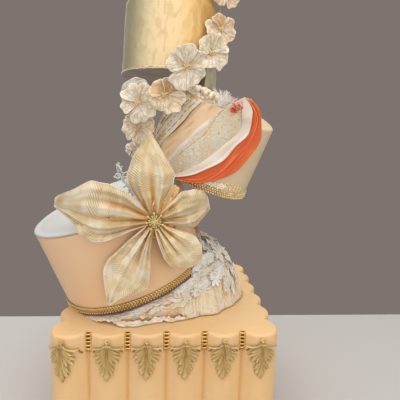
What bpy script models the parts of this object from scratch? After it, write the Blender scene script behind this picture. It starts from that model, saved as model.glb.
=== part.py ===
"""Topsy-turvy celebration cake: a square scalloped base, two tilted round tiers, a gold
round tier on top, and paper flowers, ruffles and gold trim round them.

Metres, +Z up. The origin is the middle of the base tier's underside. The front looks to -Y.
"""

from math import atan2, cos, degrees, hypot, pi, radians, sin, sqrt, tan

import bmesh
import bpy
from mathutils import Matrix, Vector, noise

# ---------------------------------------------------------------- driving dimensions

GAP = 0.0003                    # air left between pieces that touch

BASE_HEIGHT = 0.150
LOBE_RADIUS = 0.026             # the base's sides are a row of upright half-round lobes
LOBE_PITCH = 0.050
LOBES_PER_SIDE = 6
LOBE_HALF_ANGLE = radians(68)   # how far each lobe turns before it meets the groove
BASE_EDGE_ROUND = 0.004

# Tilted tiers: place is the centre of the underside, above the base's top. A lean is the
# angle of the tier's axis from upright, to the right and to the front.
PEACH = {"place": (-0.0508, -0.0055, 0.0381), "lean_right": radians(-19.0), "lean_front": radians(7.8),
         "bottom_radius": 0.1096, "top_radius": 0.1142, "height": 0.1245,
         "top_slope": (0.033, 0.004), "edge": 0.003}
CREAM = {"place": (0.0426, -0.0006, 0.1953), "lean_right": radians(21.6), "lean_front": radians(10.9),
         "bottom_radius": 0.0813, "top_radius": 0.0781, "height": 0.1155,
         "top_slope": (-0.018, 0.089), "edge": 0.003}
GOLD = {"place": (-0.004, 0.0, 0.3403), "lean_right": radians(1.5), "lean_front": radians(-2.9),
        "bottom_radius": 0.0691, "top_radius": 0.0655, "height": 0.150,
        "wrap_height": 0.097, "wrap_step": 0.0026, "edge": 0.004}
TIER_STEPS = 44

WHITE_TOP_THICKNESS = 0.0025
GOLD_BOARD_THICKNESS = 0.0016
# A clear wafer scrap that hangs from the gold tier's lower edge: degrees round from the front,
# how far it hangs below the tier and reaches up its side, how far it lies off the side.
SCRAP = {"from": 47, "to": 86, "drop": 0.019, "up": 0.004, "lift": 0.0026, "thickness": 0.0008}
BRAIDS = {"peach": {"height": 0.009, "thickness": 0.003},
          "cream": {"height": 0.0065, "thickness": 0.0024}}
NECKS = {"lower": {"place": (0.000, 0.010), "radius": 0.010},
         "upper": {"place": (0.028, 0.004), "radius": 0.008}}

LEAF = {"height": 0.052, "half_width": 0.0165, "thickness": 0.0022, "below_edge": 0.004,
        "broadest": 0.31, "lobe_pitch": 0.17, "crown": 0.0012, "turns": (-13, 0, 0, 0, 0, 0)}
BEADS = {"height": 0.025, "radius": 0.0040, "waist": 0.0028, "count": 5, "steps": 8,
         "above_edge": 0.001}

BED = {"centre": (-0.010, -0.005), "low_height": 0.030, "high_height": 0.102, "pleats": 15,
       "pleat_depth": 0.0040, "lumps": 0.0050, "lump_size": 0.022, "segments": (60, 12),
       "reach": ((0, 0.128), (40, 0.118), (90, 0.100), (140, 0.118), (180, 0.112),
                 (218, 0.138), (243, 0.130), (270, 0.106), (300, 0.104), (322, 0.112), (360, 0.128))}

SHEET_THICKNESS = 0.0010
# Curves on the cream tier's side: degrees round from the front, height in millimetres.
BARK_BACK = ((-122, 4), (-124, 40), (-118, 80), (-108, 112))
PEACH_LEFT = ((-62, 3), (-58, 22), (-54, 40), (-47, 58), (-41, 76), (-37, 94), (-31, 112))
PEACH_RIGHT = ((-42, 3), (-39.5, 22), (-36, 40), (-31, 58), (-25, 76), (-19, 94), (-12, 113))
WHITE_LEFT = ((-31, 3), (-20, 17), (-7, 43), (3.5, 73), (11.5, 97), (5.5, 118), (0.2, 136))
WHITE_RIGHT = ((-28, 2), (-8, 23), (5, 50), (14.5, 79), (18, 102), (14, 125), (1.4, 138))
FRILL_FOLD = ((-24, 2), (-2, 13), (9, 38), (18.5, 62), (23, 91), (22, 119), (4, 138))
FRILL_OUTER = ((-18, 3), (5, 17), (22, 38), (34, 70), (36.5, 97), (26, 126), (8, 139))
SHEET_GAP = 0.9                 # millimetres kept off the curve between two sheets
SHEET_INSET_MOST = 0.35         # the most of a sheet's own width that this takes off one side

PEARLS = {"middle": (-0.038, -0.034), "mound": (0.031, 0.022, 0.0060), "lumps": 0.0020,
          "pearl": 0.0034, "spread": 0.018, "count": 10}
PLUME = {"foot": (-12, 104), "height": 0.030, "half_width": 0.007, "lift": 0.0060}
BUD = {"middle": (-2.5, 121), "radius": 0.0062, "stretch": 1.75, "squash": 0.6, "frill": 0.18,
       "lift": 0.0115}

HUB = (-0.0172, -0.1340, 0.1465)      # the big flower's middle, above the base's top
HUB_HOLE = 0.0110                     # petals start this far from the middle
PETAL_THICKNESS = 0.0012
PETAL_CLEAR = 0.0070                  # how far the petals lie off the peach tier
PETAL_ROOT = 0.15                     # a petal's width at its foot, as a share of its widest
# angle, length, widest half-widths on the left and right of the petal's own axis, where it
# is widest, bluntness (1 pointed, less is blunter), how far the tip leans back, bulge to the
# front, and how much further its left half stands out
PETALS = {
    "petal_up": (95, 0.108, 0.030, 0.031, 0.55, 1.10, 0.040, 0.004, 0),
    "petal_left": (176, 0.137, 0.027, 0.044, 0.50, 0.80, 0.050, 0.016, 0.004),
    "petal_low_left": (241, 0.127, 0.031, 0.031, 0.62, 0.55, 0.004, 0.002, 0),
    "petal_low_right": (306, 0.088, 0.024, 0.030, 0.62, 0.45, 0.036, 0.002, 0),
    "petal_right": (12, 0.073, 0.026, 0.023, 0.66, 0.35, 0.028, 0.002, 0),
    "petal_small": (56, 0.050, 0.008, 0.008, 0.60, 0.60, 0.018, -0.004, 0),
}
BROOCH = {"radius": 0.0105, "depth": 0.008, "back": 0.0175, "stem": 0.0055}

# centre above the base's top, radius, turn to the right and up from facing the front, petals
FLOWERS = {
    "flower_1": ((0.0620, -0.050, 0.4990), 0.0220, -5, 20, 5),
    "flower_2": ((0.0760, -0.028, 0.4570), 0.0235, 15, -8, 5),
    "flower_3": ((0.0681, -0.042, 0.4030), 0.0240, 18, 8, 4),
    "flower_4": ((0.0545, -0.064, 0.3660), 0.0265, 25, 10, 4),
    "flower_5": ((0.0190, -0.101, 0.3440), 0.0285, 5, -6, 5),
    "flower_6": ((-0.0080, -0.089, 0.3060), 0.0250, 8, 4, 4),
    "flower_7": ((-0.0435, -0.077, 0.2950), 0.0275, -10, 0, 5),
    "flower_8": ((-0.0450, -0.060, 0.2640), 0.0250, -8, -8, 4),
    "flower_9": ((-0.0520, -0.066, 0.2330), 0.0110, -35, -10, 4),
}
FLOWER_THICKNESS = 0.0010
CALYX_DEPTH = 0.0080
WIRE_RADIUS = 0.0011
WIRE_SAG = 0.0060                     # how far the wire bows back between two flowers

WISP = {"foot": (-0.052, -0.060, 0.167), "tip": (-0.076, -0.062, 0.212), "radius": 0.0012}

BASE_HALF = LOBE_PITCH * (LOBES_PER_SIDE - 1) / 2
ABOVE_BASE = Vector((0, 0, BASE_HEIGHT))

# ---------------------------------------------------------------- scene helpers

for old in list(bpy.data.objects):
    bpy.data.objects.remove(old, do_unlink=True)

CAKE = bpy.data.collections.new("topsy_turvy_cake")
CUTTERS = bpy.data.collections.new("cutters")
for group in (CAKE, CUTTERS):
    bpy.context.scene.collection.children.link(group)


def material(name, colour, roughness, metallic=0.0):
    made = bpy.data.materials.new(name)
    made.use_nodes = True
    shader = made.node_tree.nodes["Principled BSDF"]
    shader.inputs["Base Color"].default_value = (*colour, 1)
    shader.inputs["Roughness"].default_value = roughness
    shader.inputs["Metallic"].default_value = metallic
    made.diffuse_color = (*colour, 1)
    return made


BASE_ICING = material("base_icing", (0.84, 0.60, 0.38), 0.55)
PEACH_ICING = material("peach_icing", (0.80, 0.55, 0.34), 0.50)
WHITE_ICING = material("white_icing", (0.78, 0.80, 0.80), 0.45)
CREAM_ICING = material("cream_icing", (0.80, 0.70, 0.50), 0.50)
GOLD_LEAF = material("gold_leaf", (0.85, 0.65, 0.33), 0.30, 0.9)
GOLD_TRIM = material("gold_trim", (0.62, 0.42, 0.12), 0.38, 0.8)
OLD_GOLD = material("old_gold", (0.50, 0.42, 0.20), 0.50, 0.5)
BOARD_SILVER = material("board_silver", (0.55, 0.54, 0.55), 0.35, 0.5)
PAPER_CREAM = material("paper_cream", (0.86, 0.77, 0.60), 0.70)
PAPER_PEACH = material("paper_peach", (0.86, 0.66, 0.46), 0.70)
PAPER_WHITE = material("paper_white", (0.88, 0.85, 0.80), 0.70)
PAPER_CLEAR = material("paper_clear", (0.56, 0.54, 0.44), 0.35)
PAPER_ORANGE = material("paper_orange", (0.80, 0.20, 0.06), 0.60)
PEARL = material("pearl", (0.90, 0.84, 0.74), 0.25)


def empty(name, matrix):
    """A guide that carries pieces modelled in its own upright frame."""
    guide = bpy.data.objects.new(name, None)
    guide.matrix_world = matrix
    CAKE.objects.link(guide)
    return guide


def add(name, bm, finish, parent=None, smooth=40, collection=CAKE):
    bmesh.ops.recalc_face_normals(bm, faces=bm.faces)
    mesh = bpy.data.meshes.new(name)
    bm.to_mesh(mesh)
    bm.free()
    mesh.shade_smooth()
    mesh.set_sharp_from_angle(angle=radians(smooth))
    mesh.materials.append(finish)
    made = bpy.data.objects.new(name, mesh)
    made.parent = parent
    collection.objects.link(made)
    return made


def smooth_path(points, t):
    """A point of the smooth curve through the given points, t from 0 to 1."""
    last = len(points) - 1
    place = min(max(t, 0.0), 1.0) * last
    i = min(int(place), last - 1)
    f = place - i
    ends = (points[max(i - 1, 0)], points[i], points[i + 1], points[min(i + 2, last)])
    a, b, c, d = (Vector(p) for p in ends)
    bend = (2 * a - 5 * b + 4 * c - d) * f ** 2
    twist = (3 * b - a - 3 * c + d) * f ** 3
    return 0.5 * (2 * b + (c - a) * f + bend + twist)


def turned(profile, steps):
    """A closed body from a profile of (radius, height), turned about Z."""
    bm = bmesh.new()
    ring = [bm.verts.new((radius, 0, height)) for radius, height in profile]
    edges = [bm.edges.new(pair) for pair in zip(ring, ring[1:])]
    if profile[0][0] > 0:
        edges.append(bm.edges.new((ring[-1], ring[0])))
    bmesh.ops.spin(bm, geom=ring + edges, cent=(0, 0, 0), axis=(0, 0, 1), angle=2 * pi,
                   steps=steps, use_merge=True)
    bmesh.ops.remove_doubles(bm, verts=bm.verts, dist=1e-6)
    return bm


def sheet(name, shape, finish, size, thickness, parent=None):
    """A thin closed sheet: shape(u, w) places a grid, u from 0 to 1 and w from -1 to 1."""
    bm = bmesh.new()
    bmesh.ops.create_grid(bm, x_segments=size[0], y_segments=size[1], size=1)
    for vert in bm.verts:
        vert.co = shape((vert.co.x + 1) / 2, vert.co.y)
    bmesh.ops.triangulate(bm, faces=bm.faces)
    made = add(name, bm, finish, parent)
    shell = made.modifiers.new("thickness", "SOLIDIFY")
    shell.thickness = thickness
    shell.offset = 0
    return made


# ---------------------------------------------------------------- tilted frames

def tilt(tier):
    """The matrix of a tier's own frame: Z along its axis, -Y towards the front."""
    axis = Vector((tan(tier["lean_right"]), -tan(tier["lean_front"]), 1)).normalized()
    across = (Vector((1, 0, 0)) - axis.x * axis).normalized()
    turn = Matrix((across, axis.cross(across), axis)).transposed().to_4x4()
    return Matrix.Translation(Vector(tier["place"]) + ABOVE_BASE) @ turn


FRAMES = {"peach": empty("peach_tilt", tilt(PEACH)), "cream": empty("cream_tilt", tilt(CREAM)),
          "gold": empty("gold_tilt", tilt(GOLD))}


def side_radius(tier, height):
    return tier["bottom_radius"] + (tier["top_radius"] - tier["bottom_radius"]) * height / tier["height"]


def top_height(tier, x, y):
    slope = tier.get("top_slope", (0, 0))
    return tier["height"] + slope[0] * x + slope[1] * y


def slope_top(bm, tier):
    """Leans the upper half's rings to the tier's sloping top."""
    for vert in bm.verts:
        share = max(0.0, vert.co.z / tier["height"] * 2 - 1)
        vert.co.z += share * (top_height(tier, vert.co.x, vert.co.y) - tier["height"])


def tier_profile(tier, height, grow=0.0):
    edge = tier["edge"]
    low, high = side_radius(tier, 0) + grow, side_radius(tier, height) + grow
    curve = [(high - edge * (1 - cos(a)), height - edge * (1 - sin(a))) for a in (0, pi / 4, pi / 2)]
    return [(0, -grow), (low, -grow), *curve, (0, height)]


def on_side(tier, angle, height, lift):
    """A point on a tier's side in its own frame; angle in degrees round from the front."""
    radius = side_radius(tier, height) + lift
    return Vector((radius * sin(radians(angle)), -radius * cos(radians(angle)), height))


# ---------------------------------------------------------------- base tier

def scalloped_outline():
    points = []
    for side in range(4):
        facing = side * pi / 2
        turn = Matrix.Rotation(facing, 2)
        for k in range(LOBES_PER_SIDE - 1):
            corner = k == LOBES_PER_SIDE - 2
            along = -BASE_HALF + (k + 1) * LOBE_PITCH
            spread = LOBE_HALF_ANGLE + (pi / 4 if corner else 0)
            middle = pi / 4 if corner else 0
            arcs = 10 if corner else 6
            for step in range(arcs + 1):
                a = middle - spread + 2 * spread * step / arcs
                points.append(turn @ Vector((BASE_HALF + LOBE_RADIUS * cos(a), along + LOBE_RADIUS * sin(a))))
    return points


def base_tier():
    bm = bmesh.new()
    face = bm.faces.new([bm.verts.new((p.x, p.y, 0)) for p in scalloped_outline()])
    raised = bmesh.ops.extrude_face_region(bm, geom=[face])["geom"]
    top = [g for g in raised if isinstance(g, bmesh.types.BMVert)]
    bmesh.ops.translate(bm, vec=ABOVE_BASE, verts=top)
    rim = [e for e in bm.edges if all(v.co.z > BASE_HEIGHT / 2 for v in e.verts)]
    bmesh.ops.bevel(bm, geom=rim, offset=BASE_EDGE_ROUND, offset_type="OFFSET", segments=2, profile=0.5,
                    affect="EDGES", material=-1)
    add("base_tier", bm, BASE_ICING)


def leaf_half_width(u):
    """An acanthus leaf's outline: u runs from its top scroll to its tip."""
    broad = LEAF["broadest"]
    if u < broad:
        body = 0.20 + 0.80 * sin(pi / 2 * u / broad) ** 0.8
    else:
        body = 1.0 - 0.95 * ((u - broad) / (1 - broad)) ** 1.1
    lobes = 0.80 + 0.20 * cos(2 * pi * (u - broad) / LEAF["lobe_pitch"])
    return max(body * lobes, 0.10)


def leaf_ornament(index):
    lobe = index - (LOBES_PER_SIDE - 1) / 2
    out = LOBE_RADIUS + GAP + LEAF["thickness"] / 2

    def shape(u, w):
        round_lobe = w * LEAF["half_width"] * leaf_half_width(u) / LOBE_RADIUS
        rise = out + LEAF["crown"] * (1 - abs(w)) * sin(pi * u)
        drop = u + 0.05 * (1 - w * w) * sin(2 * pi * u)
        return Vector((rise * sin(round_lobe), -rise * cos(round_lobe), -drop * LEAF["height"]))

    holder = Matrix.Translation((lobe * LOBE_PITCH, -BASE_HALF, BASE_HEIGHT - LEAF["below_edge"]))
    guide = empty(f"leaf_place_{index + 1}", holder @ Matrix.Rotation(radians(LEAF["turns"][index]), 4, "Z"))
    sheet(f"leaf_ornament_{index + 1}", shape, OLD_GOLD, (12, 4), LEAF["thickness"], guide)


def bead_strip(index):
    steps = BEADS["count"] * 2
    profile = [(0, 0)]
    for i in range(steps + 1):
        radius = BEADS["radius"] if i % 2 else BEADS["waist"]
        profile.append((radius, BEADS["height"] * i / steps))
    profile.append((0, BEADS["height"]))
    made = add(f"bead_strip_{index + 1}", turned(profile, BEADS["steps"]), GOLD_TRIM)
    seat = sqrt((LOBE_RADIUS + BEADS["radius"] + GAP) ** 2 - (LOBE_PITCH / 2) ** 2)
    across = (index - (LOBES_PER_SIDE - 2) / 2) * LOBE_PITCH
    made.location = (across, -BASE_HALF - seat, BASE_HEIGHT + BEADS["above_edge"] - BEADS["height"])


# ---------------------------------------------------------------- round tiers

def round_tiers():
    peach = turned(tier_profile(PEACH, PEACH["height"] - WHITE_TOP_THICKNESS - GAP), TIER_STEPS)
    slope_top(peach, PEACH)
    add("peach_tier", peach, PEACH_ICING, FRAMES["peach"])

    radius, top, thick = PEACH["top_radius"], PEACH["height"], WHITE_TOP_THICKNESS
    rim = [(radius - 0.0015, top - thick), (radius, top - thick / 2), (radius - 0.002, top)]
    disc = turned([(0, top - thick), *rim, (radius * 0.6, top + 0.001), (0, top + 0.0015)], TIER_STEPS)
    slope_top(disc, PEACH)
    add("white_top", disc, WHITE_ICING, FRAMES["peach"])

    cream = turned(tier_profile(CREAM, CREAM["height"]), TIER_STEPS)
    slope_top(cream, CREAM)
    add("cream_tier", cream, CREAM_ICING, FRAMES["cream"])

    low, wrap, step = GOLD["bottom_radius"], GOLD["wrap_height"], GOLD["wrap_step"]
    above = tier_profile(GOLD, GOLD["height"], -step)[2:]
    leaf = [(0, 0), (low, 0), (side_radius(GOLD, wrap), wrap), (side_radius(GOLD, wrap) - step, wrap + 0.001)]
    add("gold_tier", turned(leaf + above, TIER_STEPS), GOLD_LEAF, FRAMES["gold"])

    thick, lip = GOLD_BOARD_THICKNESS, 0.0010
    edge = [(low - lip, -GAP - thick), (low + lip, -GAP - thick / 2), (low - lip, -GAP)]
    board = turned([(0, -GAP - thick), *edge, (0, -GAP)], TIER_STEPS)
    add("gold_board", board, BOARD_SILVER, FRAMES["gold"])


def wafer_scrap():
    def shape(u, w):
        angle = SCRAP["from"] + (SCRAP["to"] - SCRAP["from"]) * u
        ragged = 0.0012 * sin(9 * u) * (1 - w) / 2
        middle, half = (SCRAP["up"] - SCRAP["drop"]) / 2, (SCRAP["up"] + SCRAP["drop"]) / 2
        return on_side(GOLD, angle, middle + half * w + ragged, SCRAP["lift"] + 0.0010 * sin(7 * u))
    sheet("wafer_scrap", shape, PAPER_CLEAR, (7, 1), SCRAP["thickness"], FRAMES["gold"])


def braid(name, tier, size, parent):
    """A rounded band round the foot of a tilted tier."""
    height, thickness = size["height"], size["thickness"]
    inner = [(side_radius(tier, h) + GAP, h) for h in (0, height)]
    swell = side_radius(tier, height / 2) + GAP + thickness
    shoulder = swell - thickness * 0.35
    outer = [(shoulder, height * 0.92), (swell, height * 0.5), (shoulder, height * 0.08)]
    add(name, turned(inner + outer, TIER_STEPS), GOLD_TRIM, parent)


def neck(name, place, radius, under, over):
    """A short post between two tilted planes: each is (point, normal) in the world."""
    bm = bmesh.new()
    bmesh.ops.create_cone(bm, cap_ends=True, segments=12, radius1=radius, radius2=radius, depth=1)
    for vert in bm.verts:
        point, normal = under if vert.co.z < 0 else over
        x, y = vert.co.x + place[0], vert.co.y + place[1]
        height = point.z - (normal.x * (x - point.x) + normal.y * (y - point.y)) / normal.z
        vert.co = Vector((x, y, height + (2 * GAP if vert.co.z < 0 else -2 * GAP)))
    add(name, bm, CREAM_ICING)


def plane_of(frame, height, slope=(0, 0)):
    matrix = tilt(frame)
    normal = (matrix.to_3x3() @ Vector((-slope[0], -slope[1], 1))).normalized()
    return matrix @ Vector((0, 0, height)), normal


# ---------------------------------------------------------------- ruffle bed

def bed_reach(angle):
    angle = angle % 360
    for (a, low), (b, high) in zip(BED["reach"], BED["reach"][1:]):
        if a <= angle <= b:
            share = (1 - cos(pi * (angle - a) / (b - a))) / 2
            return low + (high - low) * share
    return BED["reach"][0][1]


def ruffle_bed():
    """A pleated heap in the wedge under the peach tier, highest on the right."""
    bm = bmesh.new()
    bmesh.ops.create_uvsphere(bm, u_segments=BED["segments"][0], v_segments=BED["segments"][1], radius=1)
    for vert in bm.verts:
        out, angle = hypot(vert.co.x, vert.co.y), atan2(vert.co.y, vert.co.x)
        share = ((1 + cos(angle)) / 2) ** 1.6
        peak = BED["low_height"] + (BED["high_height"] - BED["low_height"]) * share
        pleat = BED["pleat_depth"] * sin(BED["pleats"] * angle + 2 * sin(3 * angle))
        reach = (bed_reach(degrees(angle)) + pleat) * out
        x = BED["centre"][0] + reach * cos(angle)
        y = BED["centre"][1] + reach * sin(angle)
        lump = BED["lumps"] * noise.noise(Vector((x, y, 0.05)) / BED["lump_size"])
        height = peak * (1 - min(out, 1) ** 4) ** 0.55 + (lump + pleat * out) * (1 - out ** 6)
        vert.co = Vector((x, y, BASE_HEIGHT + GAP + (max(height, 0) if vert.co.z > 1e-5 else 0)))
    bed = add("ruffle_bed", bm, PAPER_WHITE, smooth=60)
    clear = BRAIDS["peach"]["thickness"] + 0.001
    hollow = turned(tier_profile(PEACH, PEACH["height"], clear), TIER_STEPS)
    cutter = add("tier_hollow", hollow, PAPER_WHITE, FRAMES["peach"], collection=CUTTERS)
    cutter.hide_render = True
    cutter.display_type = "WIRE"
    wedge = bed.modifiers.new("tier_hollow", "BOOLEAN")
    wedge.object = cutter
    wedge.operation = "DIFFERENCE"


# ---------------------------------------------------------------- cream tier's paper sheets

def side_sheet(name, left, right, finish, size, lift, wave, waves):
    """A paper sheet on the cream tier's side, between two curves drawn on it."""
    def shape(u, w):
        a, b = smooth_path(left, u), smooth_path(right, u)
        apart = hypot(radians(b.x - a.x) * side_radius(CREAM, 0) * 1000, b.y - a.y)
        inset = min(SHEET_GAP / apart, SHEET_INSET_MOST)
        share = inset + (1 - 2 * inset) * (w + 1) / 2
        angle = a.x + (b.x - a.x) * share
        height = a.y + (b.y - a.y) * share
        swell = 1 + sin(2 * pi * waves * u + 2 * w)
        return on_side(CREAM, angle, height / 1000, lift + wave * swell * (0.3 + 0.7 * share))
    return sheet(name, shape, finish, size, SHEET_THICKNESS, FRAMES["cream"])


def cream_sheets():
    low = 0.0033                        # clear of the braid at the tier's foot
    side_sheet("bark_lace", BARK_BACK, PEACH_LEFT, PAPER_CREAM, (10, 7), low, 0.0016, 3)
    side_sheet("peach_sheet", PEACH_LEFT, PEACH_RIGHT, PAPER_PEACH, (9, 2), low, 0.0010, 2)
    side_sheet("lace_sheet", PEACH_RIGHT, WHITE_LEFT, PAPER_WHITE, (10, 3), low, 0.0012, 3)
    side_sheet("white_petal", WHITE_LEFT, WHITE_RIGHT, PAPER_WHITE, (12, 2), low + 0.001, 0.0018, 1)
    side_sheet("frill_inner", WHITE_RIGHT, FRILL_FOLD, PAPER_ORANGE, (14, 2), low, 0.0020, 4)
    side_sheet("frill_outer", FRILL_FOLD, FRILL_OUTER, PAPER_ORANGE, (14, 2), low, 0.0020, 3.5)


def flat_footed(bm):
    """Flattens what would sink into the cream tier's top."""
    for vert in bm.verts:
        vert.co.z = max(vert.co.z, top_height(CREAM, vert.co.x, vert.co.y) + GAP)


def pearl(parts, index, middle):
    """One pearl of the cluster, on a spiral round its middle."""
    turn = index * pi * (3 - sqrt(5))
    out = PEARLS["spread"] * sqrt((index - 0.5) / PEARLS["count"])
    x, y = middle.x + out * cos(turn), middle.y + 0.7 * out * sin(turn)
    size = PEARLS["pearl"] * (1 + 0.12 * sin(5 * index))
    sunk = 1 - 0.5 * (out / PEARLS["mound"][0]) ** 2
    bm = bmesh.new()
    bmesh.ops.create_uvsphere(bm, u_segments=6, v_segments=4, radius=size)
    ground = top_height(CREAM, x, y) + PEARLS["mound"][2] * sunk
    bmesh.ops.translate(bm, vec=(x, y, ground + size * 0.4), verts=bm.verts)
    flat_footed(bm)
    add(f"pearl_{index}", bm, PEARL, FRAMES["cream"], collection=parts)


def pearl_cluster():
    """Pearls on a low crumpled mound on the cream tier's top, all one body."""
    parts = bpy.data.collections.new("pearls")
    bpy.context.scene.collection.children.link(parts)
    middle = Vector(PEARLS["middle"])
    bm = bmesh.new()
    bmesh.ops.create_uvsphere(bm, u_segments=16, v_segments=6, radius=1)
    for vert in bm.verts:
        lump = PEARLS["lumps"] * noise.noise(vert.co * 2.2)
        x, y = middle.x + PEARLS["mound"][0] * vert.co.x, middle.y + PEARLS["mound"][1] * vert.co.y
        rise = max(PEARLS["mound"][2] * vert.co.z + lump * max(vert.co.z, 0), 0)
        vert.co = (x, y, top_height(CREAM, x, y) + GAP + rise)
    cluster = add("pearl_cluster", bm, PEARL, FRAMES["cream"])
    for index in range(1, PEARLS["count"] + 1):
        pearl(parts, index, middle)
    fuse = cluster.modifiers.new("pearls", "BOOLEAN")
    fuse.operand_type = "COLLECTION"
    fuse.collection = parts
    fuse.operation = "UNION"
    bpy.context.view_layer.update()
    fused = cluster.evaluated_get(bpy.context.evaluated_depsgraph_get())
    cluster.data = bpy.data.meshes.new_from_object(fused)
    cluster.modifiers.clear()
    for piece in list(parts.objects):
        bpy.data.objects.remove(piece, do_unlink=True)
    bpy.data.collections.remove(parts)


def plume():
    """A small feather that stands behind the lace at the cream tier's rim."""
    angle, height = PLUME["foot"]
    foot = on_side(CREAM, angle, height / 1000, -PLUME["lift"])

    def shape(u, w):
        half = PLUME["half_width"] * (0.35 + 0.65 * sin(pi * min(u + 0.15, 1)))
        return foot + Vector((half * w + 0.006 * u * u, 0.002 * w * w, 0.010 + PLUME["height"] * u))
    sheet("plume", shape, PAPER_WHITE, (5, 2), SHEET_THICKNESS, FRAMES["cream"])


def coral_bud():
    """A small coral paper bud at the white petal's tip."""
    angle, height = BUD["middle"]
    bm = bmesh.new()
    bmesh.ops.create_uvsphere(bm, u_segments=10, v_segments=6, radius=BUD["radius"])
    for vert in bm.verts:
        fold = cos(5 * atan2(vert.co.y, vert.co.x)) * (1 - abs(vert.co.z) / BUD["radius"])
        wide = 1 + BUD["frill"] * fold
        vert.co = Vector((vert.co.x * wide, vert.co.y * wide * BUD["squash"], vert.co.z * BUD["stretch"]))
    made = add("coral_bud", bm, PAPER_ORANGE, FRAMES["cream"])
    made.location = on_side(CREAM, angle, height / 1000, BUD["lift"])


# ---------------------------------------------------------------- big flower

def clear_of_tier(tier, frame, point, clear):
    """Moves a world point out of a tier, to lie just off its side or its top."""
    local = frame.inverted() @ point
    radius = hypot(local.x, local.y)
    side_over = side_radius(tier, local.z) + clear - radius
    top_over = top_height(tier, local.x, local.y) + clear - local.z
    if side_over <= 0 or top_over <= 0 or local.z < -clear:
        return point
    if side_over < top_over:
        share = (radius + side_over) / radius
        local.x, local.y = local.x * share, local.y * share
    else:
        local.z += top_over
    return frame @ local


def big_petal(name, angle, length, half_left, half_right, widest, blunt, lean_back, bulge, droop):
    hub = Vector(HUB) + ABOVE_BASE
    frame = tilt(PEACH)
    along = Vector((cos(radians(angle)), 0, sin(radians(angle))))
    left = Vector((-along.z, 0, along.x))

    def shape(u, w):
        reach = HUB_HOLE + (length - HUB_HOLE) * u
        if u < widest:
            wide = PETAL_ROOT + (1 - PETAL_ROOT) * sin(pi / 2 * u / widest)
        else:
            wide = max(cos(pi / 2 * (u - widest) / (1 - widest)), 0.0) ** blunt
        wide = max(wide, 0.05)
        half = half_left if w > 0 else half_right
        gather = 0.0018 * cos(4 * pi * w) * (1 - u) * sin(pi * u)
        swell = sin(pi * u) * (bulge + droop * max(w, 0))
        depth = lean_back * u ** 3 - swell + 0.004 * w * w * sin(pi * u) + gather
        point = hub + along * reach + left * (half * wide * w) + Vector((0, depth, 0))
        return clear_of_tier(PEACH, frame, point, PETAL_CLEAR)
    sheet(name, shape, PAPER_CREAM, (11, 5), PETAL_THICKNESS)


def brooch():
    """The flower's gold button, with a stem behind it that reaches the tier's side."""
    size, depth, back, stem = BROOCH["radius"], BROOCH["depth"], BROOCH["back"], BROOCH["stem"]
    dome = [(0, -depth), (size * 0.55, -depth * 0.85), (size * 0.9, -depth * 0.5), (size * 0.8, -depth * 0.1)]
    profile = dome + [(stem * 0.8, 0), (stem, back), (0, back)]
    made = add("brooch", turned(profile, 14), GOLD_TRIM)
    made.location = Vector(HUB) + ABOVE_BASE
    made.rotation_euler = (radians(-90), 0, 0)


# ---------------------------------------------------------------- small flowers

def flower_matrix(place, turn_right, turn_up):
    """Z is the way the flower looks: to the front, turned to the right and up."""
    look = Matrix.Rotation(radians(turn_right), 4, "Z") @ Matrix.Rotation(radians(90 - turn_up), 4, "X")
    return Matrix.Translation(Vector(place) + ABOVE_BASE) @ look


def small_flower(name, place, radius, turn_right, turn_up, petals):
    bm = bmesh.new()
    bmesh.ops.create_grid(bm, x_segments=6, y_segments=6, size=1)
    for vert in bm.verts:
        x = vert.co.x * sqrt(1 - vert.co.y ** 2 / 2)
        y = vert.co.y * sqrt(1 - vert.co.x ** 2 / 2)
        out, turn = hypot(x, y), atan2(y, x)
        edge = radius * (0.88 + 0.12 * cos(petals * turn))
        cup = radius * (0.16 * out ** 2 + 0.12 * out ** 2 * cos(petals * turn + 0.8))
        vert.co = Vector((out * edge * cos(turn), out * edge * sin(turn), cup))
    bmesh.ops.triangulate(bm, faces=bm.faces)
    front = list(bm.faces)
    bmesh.ops.recalc_face_normals(bm, faces=front)
    if front[0].normal.z < 0:
        bmesh.ops.reverse_faces(bm, faces=front)
    bmesh.ops.solidify(bm, geom=front, thickness=FLOWER_THICKNESS)
    middle = min((v for v in bm.verts if hypot(v.co.x, v.co.y) < radius * 0.05), key=lambda v: v.co.z)
    middle.co.z -= CALYX_DEPTH
    made = add(name, bm, PAPER_CREAM)
    made.matrix_world = flower_matrix(place, turn_right, turn_up)


def wire_points():
    """The wire runs behind the flowers, just clear of each one's calyx, and sags between them."""
    back = CALYX_DEPTH + FLOWER_THICKNESS + WIRE_RADIUS + 2 * GAP
    behind = [flower_matrix(f[0], f[2], f[3]) @ Vector((0, 0, -back)) for f in FLOWERS.values()]
    points = behind[:1]
    for before, after in zip(behind, behind[1:]):
        points += [(before + after) / 2 + Vector((0, WIRE_SAG, 0)), after]
    return points


def flower_wire():
    curve = bpy.data.curves.new("flower_wire", "CURVE")
    curve.dimensions = "3D"
    curve.bevel_depth = WIRE_RADIUS
    curve.bevel_resolution = 1
    curve.use_fill_caps = True
    through = wire_points()
    count = 2 * (len(through) - 1)
    line = curve.splines.new("POLY")
    line.points.add(count)
    for i, point in enumerate(line.points):
        point.co = (*smooth_path(through, i / count), 1)
    curve.materials.append(GOLD_TRIM)
    CAKE.objects.link(bpy.data.objects.new("flower_wire", curve))


def wisp():
    foot, tip = (Vector(WISP[end]) + ABOVE_BASE for end in ("foot", "tip"))
    bm = bmesh.new()
    bmesh.ops.create_cone(bm, cap_ends=True, segments=6, radius1=WISP["radius"], radius2=WISP["radius"] * 0.3,
                          depth=(tip - foot).length)
    made = add("wisp", bm, PAPER_WHITE)
    made.location = (foot + tip) / 2
    made.rotation_euler = (tip - foot).to_track_quat("Z", "Y").to_euler()


# ---------------------------------------------------------------- the cake

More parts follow.
